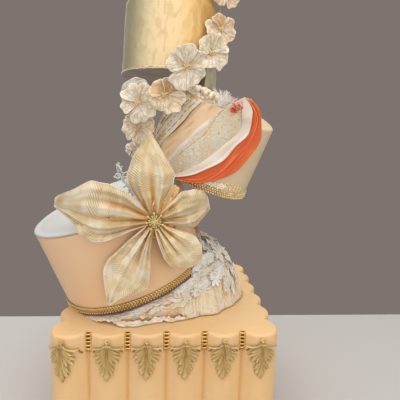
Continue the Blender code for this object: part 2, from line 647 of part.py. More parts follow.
base_tier()
for number in range(LOBES_PER_SIDE):
    leaf_ornament(number)
for number in range(LOBES_PER_SIDE - 1):
    bead_strip(number)
round_tiers()
braid("peach_braid", PEACH, BRAIDS["peach"], FRAMES["peach"])
braid("cream_braid", CREAM, BRAIDS["cream"], FRAMES["cream"])
neck("lower_neck", NECKS["lower"]["place"], NECKS["lower"]["radius"],
     plane_of(PEACH, PEACH["height"] + 0.0015, PEACH["top_slope"]), plane_of(CREAM, 0))
neck("upper_neck", NECKS["upper"]["place"], NECKS["upper"]["radius"],
     plane_of(CREAM, CREAM["height"], CREAM["top_slope"]), plane_of(GOLD, -GAP - GOLD_BOARD_THICKNESS))
wafer_scrap()
ruffle_bed()
cream_sheets()
pearl_cluster()
plume()
coral_bud()
for petal_name, petal in PETALS.items():
    big_petal(petal_name, *petal)
brooch()
for flower_name, flower in FLOWERS.items():
    small_flower(flower_name, *flower)
flower_wire()
wisp()
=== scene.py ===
# Looks of a topsy-turvy cake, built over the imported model. Metres; the front looks to -Y.
import random
from math import atan2, cos, degrees, hypot, pi, radians, sin, sqrt, tan

import bmesh
import bpy
from mathutils import Matrix, Vector, noise


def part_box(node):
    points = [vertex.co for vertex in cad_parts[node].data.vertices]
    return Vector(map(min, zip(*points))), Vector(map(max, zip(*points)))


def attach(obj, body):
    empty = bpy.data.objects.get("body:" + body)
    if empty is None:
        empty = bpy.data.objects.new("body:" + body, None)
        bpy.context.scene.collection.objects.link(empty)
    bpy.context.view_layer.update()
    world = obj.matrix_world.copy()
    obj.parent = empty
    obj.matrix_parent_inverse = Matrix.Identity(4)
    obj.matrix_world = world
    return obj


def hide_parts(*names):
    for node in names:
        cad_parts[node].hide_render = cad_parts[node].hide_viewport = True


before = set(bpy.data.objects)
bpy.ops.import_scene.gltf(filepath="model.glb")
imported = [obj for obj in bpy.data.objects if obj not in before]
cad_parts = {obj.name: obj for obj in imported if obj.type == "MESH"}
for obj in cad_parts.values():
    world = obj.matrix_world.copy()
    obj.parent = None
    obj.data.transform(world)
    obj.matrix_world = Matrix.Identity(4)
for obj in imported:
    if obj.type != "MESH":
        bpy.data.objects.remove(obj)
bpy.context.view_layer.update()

print("frame loaded:", len(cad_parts), "nodes")

# the same named sizes as in the part's source
base = {"half": 0.125, "lobe": 0.026, "pitch": 0.05, "lobes": 6, "halfAngle": 68, "height": 0.15,
        "edge": 0.004, "uneven": 0.0005, "shallow": 0.006}
peachTier = {"place": (-0.0508, -0.0055, 0.0381), "leanRight": -19.0, "leanFront": 7.8, "low": 0.1096,
             "high": 0.1142, "height": 0.1245, "slope": (0.033, 0.004)}
creamTier = {"place": (0.0426, -0.0006, 0.1953), "leanRight": 21.6, "leanFront": 10.9, "low": 0.0813,
             "high": 0.0781, "height": 0.1155, "slope": (-0.018, 0.089)}
goldTier = {"place": (-0.004, 0.0, 0.3403), "leanRight": 1.5, "leanFront": -2.9, "low": 0.0691,
            "high": 0.0655, "height": 0.15}
baseTop = Vector((0, 0, base["height"]))
roundSteps = 144
spiralTurn = 2.4                                # radians from one seed of a spiral to the next


def tiltOf(tier):
    axis = Vector((tan(radians(tier["leanRight"])), -tan(radians(tier["leanFront"])), 1)).normalized()
    across = (Vector((1, 0, 0)) - axis.x * axis).normalized()
    turn = Matrix((across, axis.cross(across), axis)).transposed().to_4x4()
    return Matrix.Translation(Vector(tier["place"]) + baseTop) @ turn


peachTilt, creamTilt, goldTilt = tiltOf(peachTier), tiltOf(creamTier), tiltOf(goldTier)


def sideRadius(tier, height):
    return tier["low"] + (tier["high"] - tier["low"]) * height / tier["height"]


def rimHeight(tier, x, y):
    return tier["height"] + tier["slope"][0] * x + tier["slope"][1] * y


def onSide(tier, angle, height, lift):          # angle in degrees round from the front
    radius = sideRadius(tier, height) + lift
    return Vector((radius * sin(radians(angle)), -radius * cos(radians(angle)), height))


def widen(point, share):                        # moves a point from or to the upright axis
    point.x, point.y = point.x * share, point.y * share


def grain(point, size, seed=0.0):               # soft noise from -1 to 1
    return noise.noise(Vector(point) / size + Vector((seed, seed * 1.7, seed * 0.6)))


def creases(point, size, seed=0.0):             # sharp ridges, 0 to 1
    return 1 - abs(grain(point, size, seed)) * 2.2


def unit(value):                                # kept between 0 and 1
    return min(max(value, 0.0), 1.0)


def smoothStep(low, high, value):
    t = unit((value - low) / (high - low))
    return t * t * (3 - 2 * t)


def polar(radius, angle, height=0.0):           # angle in radians round from +X
    return Vector((radius * cos(angle), radius * sin(angle), height))


def alongCurve(points, t):                      # smooth curve through the points, t from 0 to 1
    last = len(points) - 1
    spot = unit(t) * last
    i = min(int(spot), last - 1)
    f = spot - i
    around = (points[max(i - 1, 0)], points[i], points[i + 1], points[min(i + 2, last)])
    a, b, c, d = (Vector(p) for p in around)
    return 0.5 * (2 * b + (c - a) * f + (2 * a - 5 * b + 4 * c - d) * f ** 2
                  + (3 * b - a - 3 * c + d) * f ** 3)


# shader tools: a wire is a socket that does arithmetic
class Wire:
    def __init__(self, finish, socket):
        self.finish, self.socket = finish, socket

    def math(self, operation, first, second=0.0, clamp=False):
        return self.finish.node("ShaderNodeMath", {"operation": operation, "use_clamp": clamp},
                                {0: first, 1: second})

    def __add__(self, other):
        return self.math("ADD", self, other)

    __radd__ = __add__

    def __sub__(self, other):
        return self.math("SUBTRACT", self, other)

    def __rsub__(self, other):
        return self.math("SUBTRACT", other, self)

    def __mul__(self, other):
        return self.math("MULTIPLY", self, other)

    def sine(self):
        return self.math("SINE", self)

    def size(self):
        return self.math("ABSOLUTE", self)

    def clamped(self):
        return self.math("ADD", self, 0.0, clamp=True)


class Finish:
    def __init__(self, name, **sockets):
        self.material = bpy.data.materials.new(name)
        self.material.use_nodes = True
        self.tree = self.material.node_tree
        self.shader = self.tree.nodes["Principled BSDF"]
        for socket, value in sockets.items():
            self.shader.inputs[socket.replace("_", " ")].default_value = value
        self.object = self.node("ShaderNodeTexCoord", out="Object")

    def node(self, kind, settings=None, sockets=None, out=0):
        made = self.tree.nodes.new(kind)
        for key, value in (settings or {}).items():
            setattr(made, key, value)
        for key, value in (sockets or {}).items():
            if isinstance(value, Wire):
                self.tree.links.new(value.socket, made.inputs[key])
            else:
                made.inputs[key].default_value = value
        return Wire(self, made.outputs[out])

    def attribute(self, name):
        return self.node("ShaderNodeAttribute", {"attribute_name": name}, out="Fac")

    def point(self, x, y, z=0.0):
        return self.node("ShaderNodeCombineXYZ", sockets={0: x, 1: y, 2: z})

    def mapped(self, **change):                 # the object's coordinates, moved or scaled
        return self.node("ShaderNodeMapping", sockets={"Vector": self.object, **change})

    def noise(self, scale, detail=2.0, vector=None, distortion=0.0, rough=0.5):
        return self.node("ShaderNodeTexNoise", sockets={"Vector": vector or self.object, "Scale": scale,
                         "Detail": detail, "Roughness": rough, "Distortion": distortion})

    def cells(self, scale):                     # how far from the nearest cell's edge
        return self.node("ShaderNodeTexVoronoi", {"feature": "DISTANCE_TO_EDGE"},
                         {"Vector": self.object, "Scale": scale}, out="Distance")

    def band(self, value, low, high):           # 0 below low, 1 above high, smooth between
        return self.node("ShaderNodeMapRange", {"interpolation_type": "SMOOTHSTEP"},
                         {"Value": value, "From Min": low, "From Max": high})

    def blend(self, share, first, second):      # colours, or wires that carry colours
        pair = {0: share}
        for socket, colour in ((6, first), (7, second)):
            pair[socket] = colour if isinstance(colour, Wire) else (*colour, 1)
        return self.node("ShaderNodeMix", {"data_type": "RGBA"}, pair, out=2)

    def feed(self, **wires):
        for socket, wire in wires.items():
            self.tree.links.new(wire.socket, self.shader.inputs[socket.replace("_", " ")])

    def done(self, colour, roughness, height=None, distance=0.0, strength=0.0):
        self.feed(Base_Color=colour, Roughness=roughness)
        if height:
            self.feed(Normal=self.node("ShaderNodeBump", sockets={"Height": height, "Distance": distance,
                                       "Strength": strength}))
        return self.material


def icing(name, main, warm, pale, roughness=0.48):
    f = Finish(name, Roughness=roughness, Specular_IOR_Level=0.35, Sheen_Weight=0.05,
               Subsurface_Weight=0.1, Subsurface_Radius=(0.012, 0.006, 0.003), Subsurface_Scale=1.0)
    broad, mottle, dust = f.noise(9, 3), f.noise(55, 4), f.noise(420, 3)
    groove = f.attribute("groove")
    colour = f.blend(f.band(broad, 0.35, 0.68) * 0.6, main, warm)
    colour = f.blend(f.band(mottle, 0.45, 0.75) * 0.35, colour, pale)
    # painted shade: a darker warm tone down the grooves between the lobes
    colour = f.blend(groove * 0.7, colour, (warm[0] * 0.88, warm[1] * 0.72, warm[2] * 0.5))
    rough = roughness - 0.09 + mottle * 0.1 + dust * 0.08
    return f.done(colour, rough, mottle * 0.7 + dust * 0.3, 0.0006, 0.35)


def metalTrim(name, bright, deep, roughness, metallic, scale=600, grit=0.0004):
    f = Finish(name, Metallic=metallic, Roughness=roughness)
    tarnish, glint = f.noise(150, 3), f.noise(scale, 2)
    hollow = f.attribute("fold")
    colour = f.blend(f.band(tarnish, 0.38, 0.66) * 0.55, bright, deep)
    # painted shade: much darker where the fold attribute is high, in valleys, at seams and on hidden faces
    colour = f.blend(hollow * 0.85, colour, tuple(0.35 * c for c in deep))
    return f.done(colour, roughness - 0.1 + glint * 0.2 + hollow * 0.15, glint, grit, 0.6)


# wafer paper: embossed ribs, slanted from the crease or fanned out, painted shade in tan in the folds and the
# ribs' valleys, pale at the edges
def waferPaper(name, main, tan, fold, edge, slanted=True, ridges=31, patch=0.95):
    f = Finish(name, Roughness=0.62, Sheen_Weight=0.12, Sheen_Roughness=0.4, Specular_IOR_Level=0.3)
    along, across = f.attribute("along"), f.attribute("across")
    deep, rim = f.attribute("fold"), f.attribute("edge")
    swirls = f.noise(2.8, 1.2, f.point(along, across * 1.5))
    if slanted:
        ridge = (along * (2 * pi * ridges) - across.size() * (1.5 * pi * ridges) + swirls * 34).sine()
    else:
        ridge = (across * (pi * ridges) + swirls * 5).sine()
    where = f.band(f.noise(3.6, 2, f.point(along * 1.5, across, 3.0)), 0.43, 0.56) * 0.92 + 0.08
    lines = f.band(ridge, -0.15, 0.95) * where * 0.84
    tone = f.band(f.noise(24, 3), 0.36, 0.66)
    warmth = f.band(f.noise(2.6, 2, f.point(along, across * 1.4, 8.0)), 0.47, 0.66)
    colour = f.blend(warmth * 0.5, f.blend(tone * 0.6, main, edge), tan)
    # painted shade: tan in the embossed ribs' valleys, in patches
    colour = f.blend(lines * patch, colour, tan)
    # painted shade: the fold colour where the fold attribute is high
    colour = f.blend(f.band(deep, 0.1, 1.0), colour, fold)
    colour = f.blend(f.band(rim, 0.35, 0.9) * 0.85, colour, edge)
    return f.done(colour, 0.66 - lines * 0.16, f.noise(700, 2) * 0.2 - ridge * where * 0.5, 0.0013, 0.6)


# sugar lace: small cells with raised threads, tints that drift, gold flecks and gold at the torn edge
def sugarLace(name, main, cool, warm, gold, cell=330, flecks=0.5, goldEdge=0.5, hollow=None):
    f = Finish(name, Roughness=0.58, Sheen_Weight=0.15, Specular_IOR_Level=0.35, Subsurface_Weight=0.3,
               Subsurface_Radius=(0.006, 0.004, 0.003), Subsurface_Scale=1.0)
    deep, rim = f.attribute("fold"), f.attribute("edge")
    drift, drift2 = f.noise(22, 3), f.noise(31, 3, f.mapped(Location=(3.1, 1.7, 0.4)))
    wispy = f.noise(190, 4, distortion=0.8)
    fleck = f.band(f.noise(210, 2), 0.64, 0.7) * f.band(f.noise(40, 2), 0.46, 0.58)
    colour = f.blend(f.band(drift, 0.4, 0.62) * 0.8, main, cool)
    colour = f.blend(f.band(drift2, 0.46, 0.66) * 0.8, colour, warm)
    colour = f.blend(f.band(wispy, 0.44, 0.7) * 0.3, colour, tuple(0.8 * c for c in warm))
    # painted shade: the hollow colour where the fold attribute marks folds and hollows; for the bark strips
    # it is their dark line colour
    hollow = hollow or (warm[0] * 0.8, warm[1] * 0.68, warm[2] * 0.56)
    colour = f.blend(f.band(deep, 0.2, 1.0) * 0.75, colour, hollow)
    shine = (fleck * flecks + f.band(rim, 0.7, 0.96) * f.band(drift2, 0.42, 0.6) * goldEdge).clamped()
    relief = f.band(f.cells(cell), 0.3, 0.0) * 0.7 + wispy
    return f.done(f.blend(shine, colour, gold), 0.66 - shine * 0.28, relief, 0.0008, 0.6)


def frillPaper(name, main, deepTone, pale, edge):
    f = Finish(name, Roughness=0.5, Sheen_Weight=0.25, Sheen_Roughness=0.35, Specular_IOR_Level=0.4)
    along, deep, rim = f.attribute("along"), f.attribute("fold"), f.attribute("edge")
    streak = f.noise(5.0, 3, f.point(along * 1.3, f.attribute("across") * 7))
    colour = f.blend(f.band(streak, 0.36, 0.68) * 0.6, main, pale)
    # painted shade: the deep tone where the fold attribute is high; on the peach sheet it also marks
    # orange-brown blotches
    colour = f.blend(deep * 0.85, colour, deepTone)
    # painted highlight: a lighter tone along the free edges
    colour = f.blend(f.band(rim, 0.6, 0.98) * 0.75, colour, edge)
    return f.done(colour, 0.42 + streak * 0.22, streak + f.noise(500, 2) * 0.2, 0.0006, 0.5)


def goldLeaf(name):
    f = Finish(name, Metallic=0.38, Roughness=0.5)
    sheen, brushed = f.noise(4.5, 2, distortion=0.4), f.noise(30, 4, f.mapped(Scale=(1, 1, 0.15)))
    crinkle = f.noise(60, 5, distortion=1.4, rough=0.62)
    # painted reflection: by the object's X, the right side turns a deeper orange gold and the left side a
    # dark greenish grey
    drift = f.node("ShaderNodeSeparateXYZ", sockets={0: f.object}, out="X") + sheen * 0.04
    colour = f.blend(f.band(drift, 0.016, 0.066), (0.78, 0.61, 0.35), (0.76, 0.48, 0.16))
    colour = f.blend(f.band(brushed, 0.4, 0.68) * 0.22, colour, (0.84, 0.72, 0.46))
    colour = f.blend(f.band(drift, 0.004, -0.046) * 0.92, colour, (0.3, 0.31, 0.2))
    colour = f.blend(f.band(crinkle, 0.6, 0.78) * 0.22, colour, (0.6, 0.4, 0.14))
    # brown where the fold attribute is high: on the leaf's raised crinkles, and as painted shadow on some
    # torn flakes at the foot
    colour = f.blend(f.attribute("fold") * 0.5, colour, (0.46, 0.27, 0.07))
    return f.done(colour, 0.42 + crinkle * 0.26, crinkle + brushed * 0.6, 0.0016, 0.5)


def satinBeads(name, main, warm):
    f = Finish(name, Roughness=0.24, Coat_Weight=0.5, Coat_Roughness=0.12, Specular_IOR_Level=0.6)
    tint = f.noise(130, 2)
    return f.done(f.blend(f.band(tint, 0.36, 0.66), main, warm), 0.2 + tint * 0.14)


def plainPaper(name, main, shade, roughness=0.5, metallic=0.0):
    f = Finish(name, Roughness=roughness, Metallic=metallic, Specular_IOR_Level=0.4)
    cloud, fibre, deep = f.noise(34, 4), f.noise(360, 4), f.attribute("fold")
    colour = f.blend(f.band(cloud, 0.36, 0.68) * 0.8, main, shade)
    # darker where the fold attribute is high: painted shade in the posts' crumples and on the white border's
    # flap; on the wafer scrap it marks its crease lines
    colour = f.blend(deep * 0.7, colour, tuple(0.6 * c for c in shade))
    return f.done(colour, roughness - 0.06 + fibre * 0.16, fibre + cloud, 0.0004, 0.5)


baseIcing = icing("baseIcing", (0.76, 0.52, 0.262), (0.76, 0.49, 0.225), (0.78, 0.55, 0.3))
peachIcing = icing("peachIcing", (0.74, 0.505, 0.3), (0.76, 0.475, 0.255), (0.73, 0.52, 0.335))
whiteIcing = icing("whiteIcing", (0.43, 0.445, 0.425), (0.45, 0.445, 0.415), (0.465, 0.485, 0.475), 0.42)
creamIcing = icing("creamIcing", (0.68, 0.56, 0.38), (0.7, 0.54, 0.33), (0.7, 0.6, 0.45))
brightGold = metalTrim("brightGold", (0.84, 0.56, 0.2), (0.5, 0.27, 0.07), 0.32, 0.8)
braidGold = metalTrim("braidGold", (0.92, 0.65, 0.27), (0.6, 0.35, 0.09), 0.4, 0.45)
antiqueGold = metalTrim("antiqueGold", (0.72, 0.52, 0.22), (0.54, 0.36, 0.13), 0.46, 0.3, 500, 0.0005)
greenGold = metalTrim("greenGold", (0.78, 0.64, 0.3), (0.58, 0.44, 0.14), 0.34, 0.5)
foilSilver = plainPaper("foilSilver", (0.46, 0.42, 0.385), (0.36, 0.32, 0.29), 0.42, 0.3)
goldLeafed = goldLeaf("goldLeafed")
petalPaper = waferPaper("petalPaper", (0.73, 0.61, 0.4), (0.6, 0.42, 0.18), (0.63, 0.34, 0.095),
                        (0.84, 0.8, 0.72))
# lighter and darker copies of the petal paper: painted light and shade for how the lamps fall on the petals
petalBright = waferPaper("petalBright", (0.84, 0.72, 0.46), (0.68, 0.48, 0.21), (0.64, 0.36, 0.1),
                         (0.9, 0.84, 0.7))
petalWarm = waferPaper("petalWarm", (0.6, 0.5, 0.32), (0.5, 0.34, 0.13), (0.62, 0.33, 0.09),
                       (0.72, 0.66, 0.53))
flowerPaper = waferPaper("flowerPaper", (0.76, 0.68, 0.51), (0.5, 0.37, 0.19), (0.66, 0.43, 0.19),
                         (0.86, 0.82, 0.74), False, 12, 0.9)
laceWhite = sugarLace("laceWhite", (0.82, 0.77, 0.67), (0.74, 0.73, 0.67), (0.78, 0.62, 0.45),
                      (0.6, 0.42, 0.14))
barkLine = (0.68, 0.56, 0.39)
laceBark = sugarLace("laceBark", (0.96, 0.85, 0.65), (0.94, 0.86, 0.71), (0.94, 0.73, 0.49),
                     (0.6, 0.4, 0.13), 260, 0.6, 0.9, barkLine)
lacePale = sugarLace("lacePale", (0.75, 0.62, 0.45), (0.78, 0.71, 0.58), (0.8, 0.58, 0.36),
                     (0.6, 0.46, 0.1), 420, 1.0, 0.1)
peachPaper = frillPaper("peachPaper", (0.74, 0.52, 0.31), (0.6, 0.34, 0.13), (0.78, 0.6, 0.42),
                        (0.8, 0.66, 0.5))
orangePaper = frillPaper("orangePaper", (0.8, 0.15, 0.032), (0.54, 0.068, 0.012), (0.84, 0.2, 0.055),
                         (0.92, 0.46, 0.27))
coralPaper = frillPaper("coralPaper", (0.72, 0.17, 0.09), (0.46, 0.05, 0.03), (0.78, 0.36, 0.2),
                        (0.84, 0.5, 0.34))
whitePaper = plainPaper("whitePaper", (0.86, 0.83, 0.79), (0.8, 0.74, 0.68), 0.45)
clearWafer = plainPaper("clearWafer", (0.56, 0.54, 0.41), (0.46, 0.43, 0.3), 0.28)
rimPaper = plainPaper("rimPaper", (0.66, 0.64, 0.54), (0.5, 0.45, 0.32), 0.45)
pearlSugar = satinBeads("pearlSugar", (0.88, 0.8, 0.65), (0.84, 0.7, 0.5))
pollen = satinBeads("pollen", (0.76, 0.66, 0.32), (0.72, 0.56, 0.22))
print("finishes made")


def meshOf(name, bm):
    mesh = bpy.data.meshes.new(name)
    bm.to_mesh(mesh)
    bm.free()
    return mesh


def newObject(name, data):
    made = bpy.data.objects.new(name, data)
    bpy.context.scene.collection.objects.link(made)
    return made


# makes an object of a bmesh, hangs it on the cake and hides the model's parts it takes the place of
def put(name, bm, finish, replaced=(), wall=0.0, sharp=180, move=None):
    if move:
        bmesh.ops.transform(bm, matrix=move, verts=bm.verts)
    bmesh.ops.recalc_face_normals(bm, faces=bm.faces)
    mesh = meshOf(name, bm)
    mesh.shade_smooth()
    if sharp < 180:
        mesh.set_sharp_from_angle(angle=radians(sharp))
    mesh.materials.append(finish)
    piece = newObject(name, mesh)
    if wall:
        shell = piece.modifiers.new("wall", "SOLIDIFY")
        shell.thickness, shell.offset = wall, 0
    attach(piece, "root")
    if replaced:
        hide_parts(*replaced)


def layersOf(bm):                               # what the finishes read at each point
    return [bm.verts.layers.float.new(name) for name in ("along", "across", "fold", "edge")]


def mark(vert, layers, *values):
    for layer, value in zip(layers, values):
        vert[layer] = value


def gridOf(bm, cols, rows):                     # a new grid's points: u is 0 to 1 along, w is -1 to 1 across
    for vert in bmesh.ops.create_grid(bm, x_segments=cols, y_segments=rows, size=1)["verts"]:
        yield vert, (vert.co.x + 1) / 2, vert.co.y


# a grid shaped by shape(u, w), which gives a point and its fold mark, how much the finish darkens it there
# (mostly painted shade)
def paperSheet(cols, rows, shape, rim=0.1, stretch=(1, 1)):
    bm = bmesh.new()
    layers = layersOf(bm)
    for vert, u, w in gridOf(bm, cols, rows):
        vert.co, depth = shape(u, w)
        edge = max(0.0, 1 - min(1 - u, 1 - abs(w)) / rim)
        mark(vert, layers, u * stretch[0], w * stretch[1], unit(depth), edge)
    return bm


def lathe(profile, steps):
    bm = bmesh.new()
    line = [bm.verts.new((radius, 0, height)) for radius, height in profile]
    for pair in zip(line, line[1:]):
        bm.edges.new(pair)
    bmesh.ops.spin(bm, geom=bm.verts[:] + bm.edges[:], cent=(0, 0, 0), axis=(0, 0, 1), angle=2 * pi,
                   steps=steps, use_merge=True)
    bmesh.ops.remove_doubles(bm, verts=bm.verts, dist=1e-6)
    return bm


def cords(paths, radius, closed=False, sides=1, taper=None):
    curve = bpy.data.curves.new("cords", "CURVE")
    curve.dimensions, curve.bevel_depth, curve.bevel_resolution = "3D", radius, sides
    curve.use_fill_caps = not closed
    for path in paths:
        line = curve.splines.new("POLY")
        line.points.add(len(path) - 1)
        for i, (spot, at) in enumerate(zip(line.points, path)):
            spot.co = (*at, 1)
            spot.radius = taper(i / (len(path) - 1)) if taper else 1
        line.use_cyclic_u = closed
    holder = bpy.data.objects.new("cords", curve)
    mesh = bpy.data.meshes.new_from_object(holder)
    bm = bmesh.new()
    bm.from_mesh(mesh)
    bpy.data.objects.remove(holder)
    bpy.data.curves.remove(curve)
    bpy.data.meshes.remove(mesh)
    bmesh.ops.remove_doubles(bm, verts=bm.verts, dist=1e-7)
    return bm


def merge(bm, other):                           # moves the other's shapes into bm
    mesh = meshOf("merge", other)
    bm.from_mesh(mesh)
    bpy.data.meshes.remove(mesh)


def beads(spots, sides=8, rings=6):
    bm = bmesh.new()
    for at, radius in spots:
        bmesh.ops.create_uvsphere(bm, u_segments=sides, v_segments=rings, radius=radius,
                                  matrix=Matrix.Translation(at))
    return bm


# camera where the photograph was taken
photoCamera = {"place": (-0.0024, -0.63079, 0.40149), "pitch": 8.82, "yaw": 4.74, "roll": 1.79,
               "lens": 36, "sensor": 36, "nearest": 0.02}


def makeCamera(spec):
    data = bpy.data.cameras.new("photoCamera")
    data.lens, data.sensor_width, data.clip_start = spec["lens"], spec["sensor"], spec["nearest"]
    yaw, pitch, roll = (radians(spec[k]) for k in ("yaw", "pitch", "roll"))
    forward = Vector((sin(yaw) * cos(pitch), cos(yaw) * cos(pitch), -sin(pitch)))
    right = Vector((cos(yaw), -sin(yaw), 0))
    up = right.cross(forward)
    sideways = cos(roll) * right + sin(roll) * up
    upright = cos(roll) * up - sin(roll) * right
    camera = newObject("photoCamera", data)
    camera.matrix_world = Matrix.Translation(spec["place"]) @ Matrix(
        (sideways, upright, -forward)).transposed().to_4x4()
    bpy.context.scene.camera = camera


makeCamera(photoCamera)


# base tier: an outline of arcs, drawn up and rounded at the top
def baseTierPiece():
    bm = bmesh.new()
    groove = bm.verts.layers.float.new("groove")
    ends = []
    for side in range(4):
        turn = Matrix.Rotation(side * pi / 2, 3, "Z")
        for k in range(1, base["lobes"]):
            corner = k == base["lobes"] - 1
            middle = turn @ Vector((base["half"], -base["half"] + k * base["pitch"], 0))
            facing = side * pi / 2 + (pi / 4 if corner else 0)
            spread = radians(base["halfAngle"]) + (pi / 4 if corner else 0)
            reach = Vector((cos(facing - spread), sin(facing - spread), 0))
            start = bm.verts.new(middle + base["lobe"] * reach)
            arc = bmesh.ops.spin(bm, geom=[start], cent=middle, axis=(0, 0, 1), angle=2 * spread,
                                 steps=32 if corner else 20)["geom_last"]
            ends.append((start, arc[0]))
    for (_, last), (first, _) in zip(ends, ends[1:] + ends[:1]):
        bm.edges.new((last, first))
    bmesh.ops.contextual_create(bm, geom=bm.edges[:])
    risen = bmesh.ops.extrude_face_region(bm, geom=bm.faces[:])["geom"]
    bmesh.ops.translate(bm, vec=baseTop, verts=[g for g in risen if isinstance(g, bmesh.types.BMVert)])
    for share in (0.25, 0.5, 0.7, 0.8, 0.88, 0.94):
        bmesh.ops.bisect_plane(bm, geom=bm.verts[:] + bm.edges[:] + bm.faces[:], plane_no=(0, 0, 1),
                               plane_co=baseTop * share)
    rim = [e for e in bm.edges if all(v.co.z > base["height"] - 0.001 for v in e.verts)]
    bmesh.ops.bevel(bm, geom=rim, offset=base["edge"], offset_type="OFFSET", segments=5, profile=0.5,
                    affect="EDGES", material=-1)
    for vert in bm.verts:
        x, y = abs(vert.co.x), abs(vert.co.y)
        inward = base["half"] + base["lobe"] - max(x, y)      # how deep in the scallop's groove
        corner = abs(x - y) < base["lobe"]
        # painted shade: the groove mark darkens the grooves between the lobes, fading out toward the top
        dark = smoothStep(0.0142, 0.0164, inward) * smoothStep(base["height"], 0.143, vert.co.z)
        vert[groove] = 0 if corner else dark
        shift = 0 if corner else max(inward - base["shallow"], 0) * 0.5
        if vert.co.z < base["height"] - 0.001:
            shift += base["uneven"] * grain(vert.co, 0.03, 1)
        way = Vector((vert.co.x, 0, 0)) if x > y else Vector((0, vert.co.y, 0))
        vert.co += way.normalized() * shift
    bmesh.ops.triangulate(bm, faces=[f for f in bm.faces if len(f.verts) > 4])
    put("baseTier", bm, baseIcing, ["base_tier"], sharp=50)


baseTierPiece()
print("base tier made")

# acanthus leaves: feathered lobes either side of a rib, in millimetres down and across the leaf
leaf = {"below": 0.003, "wall": 0.0009, "stand": 0.0006, "turns": (-13, 0, 0, 0, 0, 0),
        "lobes": (((0.6, 2.5), (2.2, 16.5), (20.2, 13.6), 1.6), ((0.8, 3.5), (3.0, 19.0), (14.6, 20.6), 1.9),
                  ((0.8, 4.0), (2.4, 24.0), (17.2, 26.6), 2.7), ((0.9, 5.0), (4.0, 29.5), (14.8, 33.0), 2.9),
                  ((0.6, 6.0), (1.4, 30.0), (7.8, 35.4), 2.0), ((0.5, 8.0), (0.6, 39.5), (9.8, 43.6), 2.2),
                  ((0.4, 9.0), (0.9, 44.0), (7.4, 49.2), 2.3), ((0.2, 12.0), (0.2, 48.0), (3.2, 54.0), 1.8),
                  ((0.0, 10.0), (0.0, 38.0), (0.0, 57.5), 2.2))}


def leafPiece(index):
    bm = bmesh.new()
    fold = bm.verts.layers.float.new("fold")
    out = base["lobe"] + leaf["stand"]
    for side in (-1, 1):
        for number, (root, knee, tip, half) in enumerate(leaf["lobes"]):
            wobble = grain((index * 3.1, number * 1.7, side), 1.0)
            root, knee, tip = (Vector((x * side, d)) for x, d in (root, knee, tip))
            tip += Vector((wobble * 1.8, wobble * 1.6))
            for vert, t, w in gridOf(bm, 14, 6):
                spot = root * (1 - t) ** 2 + knee * 2 * t * (1 - t) + tip * t * t
                way = ((knee - root) * (1 - t) + (tip - knee) * t).normalized()
                wide = half * (0.2 + 0.8 * sin(pi * min(0.1 + t * 0.66, 1)) ** 1.6) * (1 - t ** 9) ** 0.5
                spot += Vector((-way.y, way.x)) * wide * w
                ribs = 0.36 * cos(w * 9.5) * sin(pi * min(t + 0.15, 1))
                rise = 2.6 - 0.2 * number + 0.9 * (1 - w * w) + ribs + 1.2 * sin(pi * t)
                rise += 1.7 * smoothStep(0.55, 0.85, t)
                rise -= 0.9 * abs(w) * (1 - t) + 1.6 * smoothStep(0.84, 1.0, t)
                rise -= 0.9 * w * w * smoothStep(0.4, 0.8, t)
                # painted shade: darker on the lobes' sides where they dip to the wall, in the rib valleys and
                # near the roots
                dark = 0.85 * smoothStep(0.55, 1.0, abs(w)) + (0.6 if ribs < -0.1 else 0)
                vert[fold] = min(dark + 0.4 * smoothStep(0.35, 0.0, t), 1)
                around = spot.x / 1000 / base["lobe"]
                far = out + rise / 1000
                vert.co = Vector((far * sin(around), -far * cos(around), -spot.y / 1000))
    bmesh.ops.recalc_face_normals(bm, faces=bm.faces)
    bmesh.ops.solidify(bm, geom=bm.faces[:], thickness=leaf["wall"])
    spine = [Vector((0, -out - 0.0024 - 0.0008 * sin(pi * t / 12), -0.004 - 0.026 * t / 12))
             for t in range(13)]
    merge(bm, cords([spine], 0.0012, sides=2, taper=lambda t: 1 - 0.85 * t))
    curls = [[Vector((0, 0, -0.006))], [], []]
    for step in range(14):                      # the scroll at the top and the two small curls under it
        a = step / 13 * 2.1 * pi
        size = 0.0027 * (1 - 0.4 * step / 13)
        curls[0].append(Vector((size * sin(a), 0, -0.0026 + size * cos(a))))
        for way, path in ((-1, curls[1]), (1, curls[2])):
            b = min(a, 4.4)
            x, z = 0.0012 + 0.002 * (1 - cos(b * 0.6)), 0.0014 * sin(b) + 0.0012 * b / 4
            path.append(Vector((way * x, 0, -0.0105 + z)))
    for path in curls:
        line = [Vector((p.x, -sqrt((out + 0.0034) ** 2 - p.x ** 2), p.z)) for p in path]
        merge(bm, cords([line], 0.001, sides=2))
    turn = Matrix.Rotation(radians(leaf["turns"][index]), 4, "Z")
    lobe = index - (base["lobes"] - 1) / 2
    holder = Matrix.Translation((lobe * base["pitch"], -base["half"], base["height"] - leaf["below"])) @ turn
    put(f"acanthusLeaf{index + 1}", bm, antiqueGold, [f"leaf_ornament_{index + 1}"],
        sharp=60, move=holder)


# dark bronze: the cords close behind the bead ladders, whose darkness is painted shadow, and also the swags
# and the bark's dashed threads
bronze = metalTrim("bronze", (0.46, 0.26, 0.07), (0.22, 0.1, 0.02), 0.38, 0.75)
strip = {"radius": 0.004, "height": 0.025, "above": 0.001, "rungs": 5, "rung": 0.00115, "bead": 0.00115,
         "apart": 0.003, "ropes": (-0.0028, -0.0019, -0.001, 0, 0.001, 0.0019, 0.0028), "rope": 0.00062,
         "twist": 0.0006}


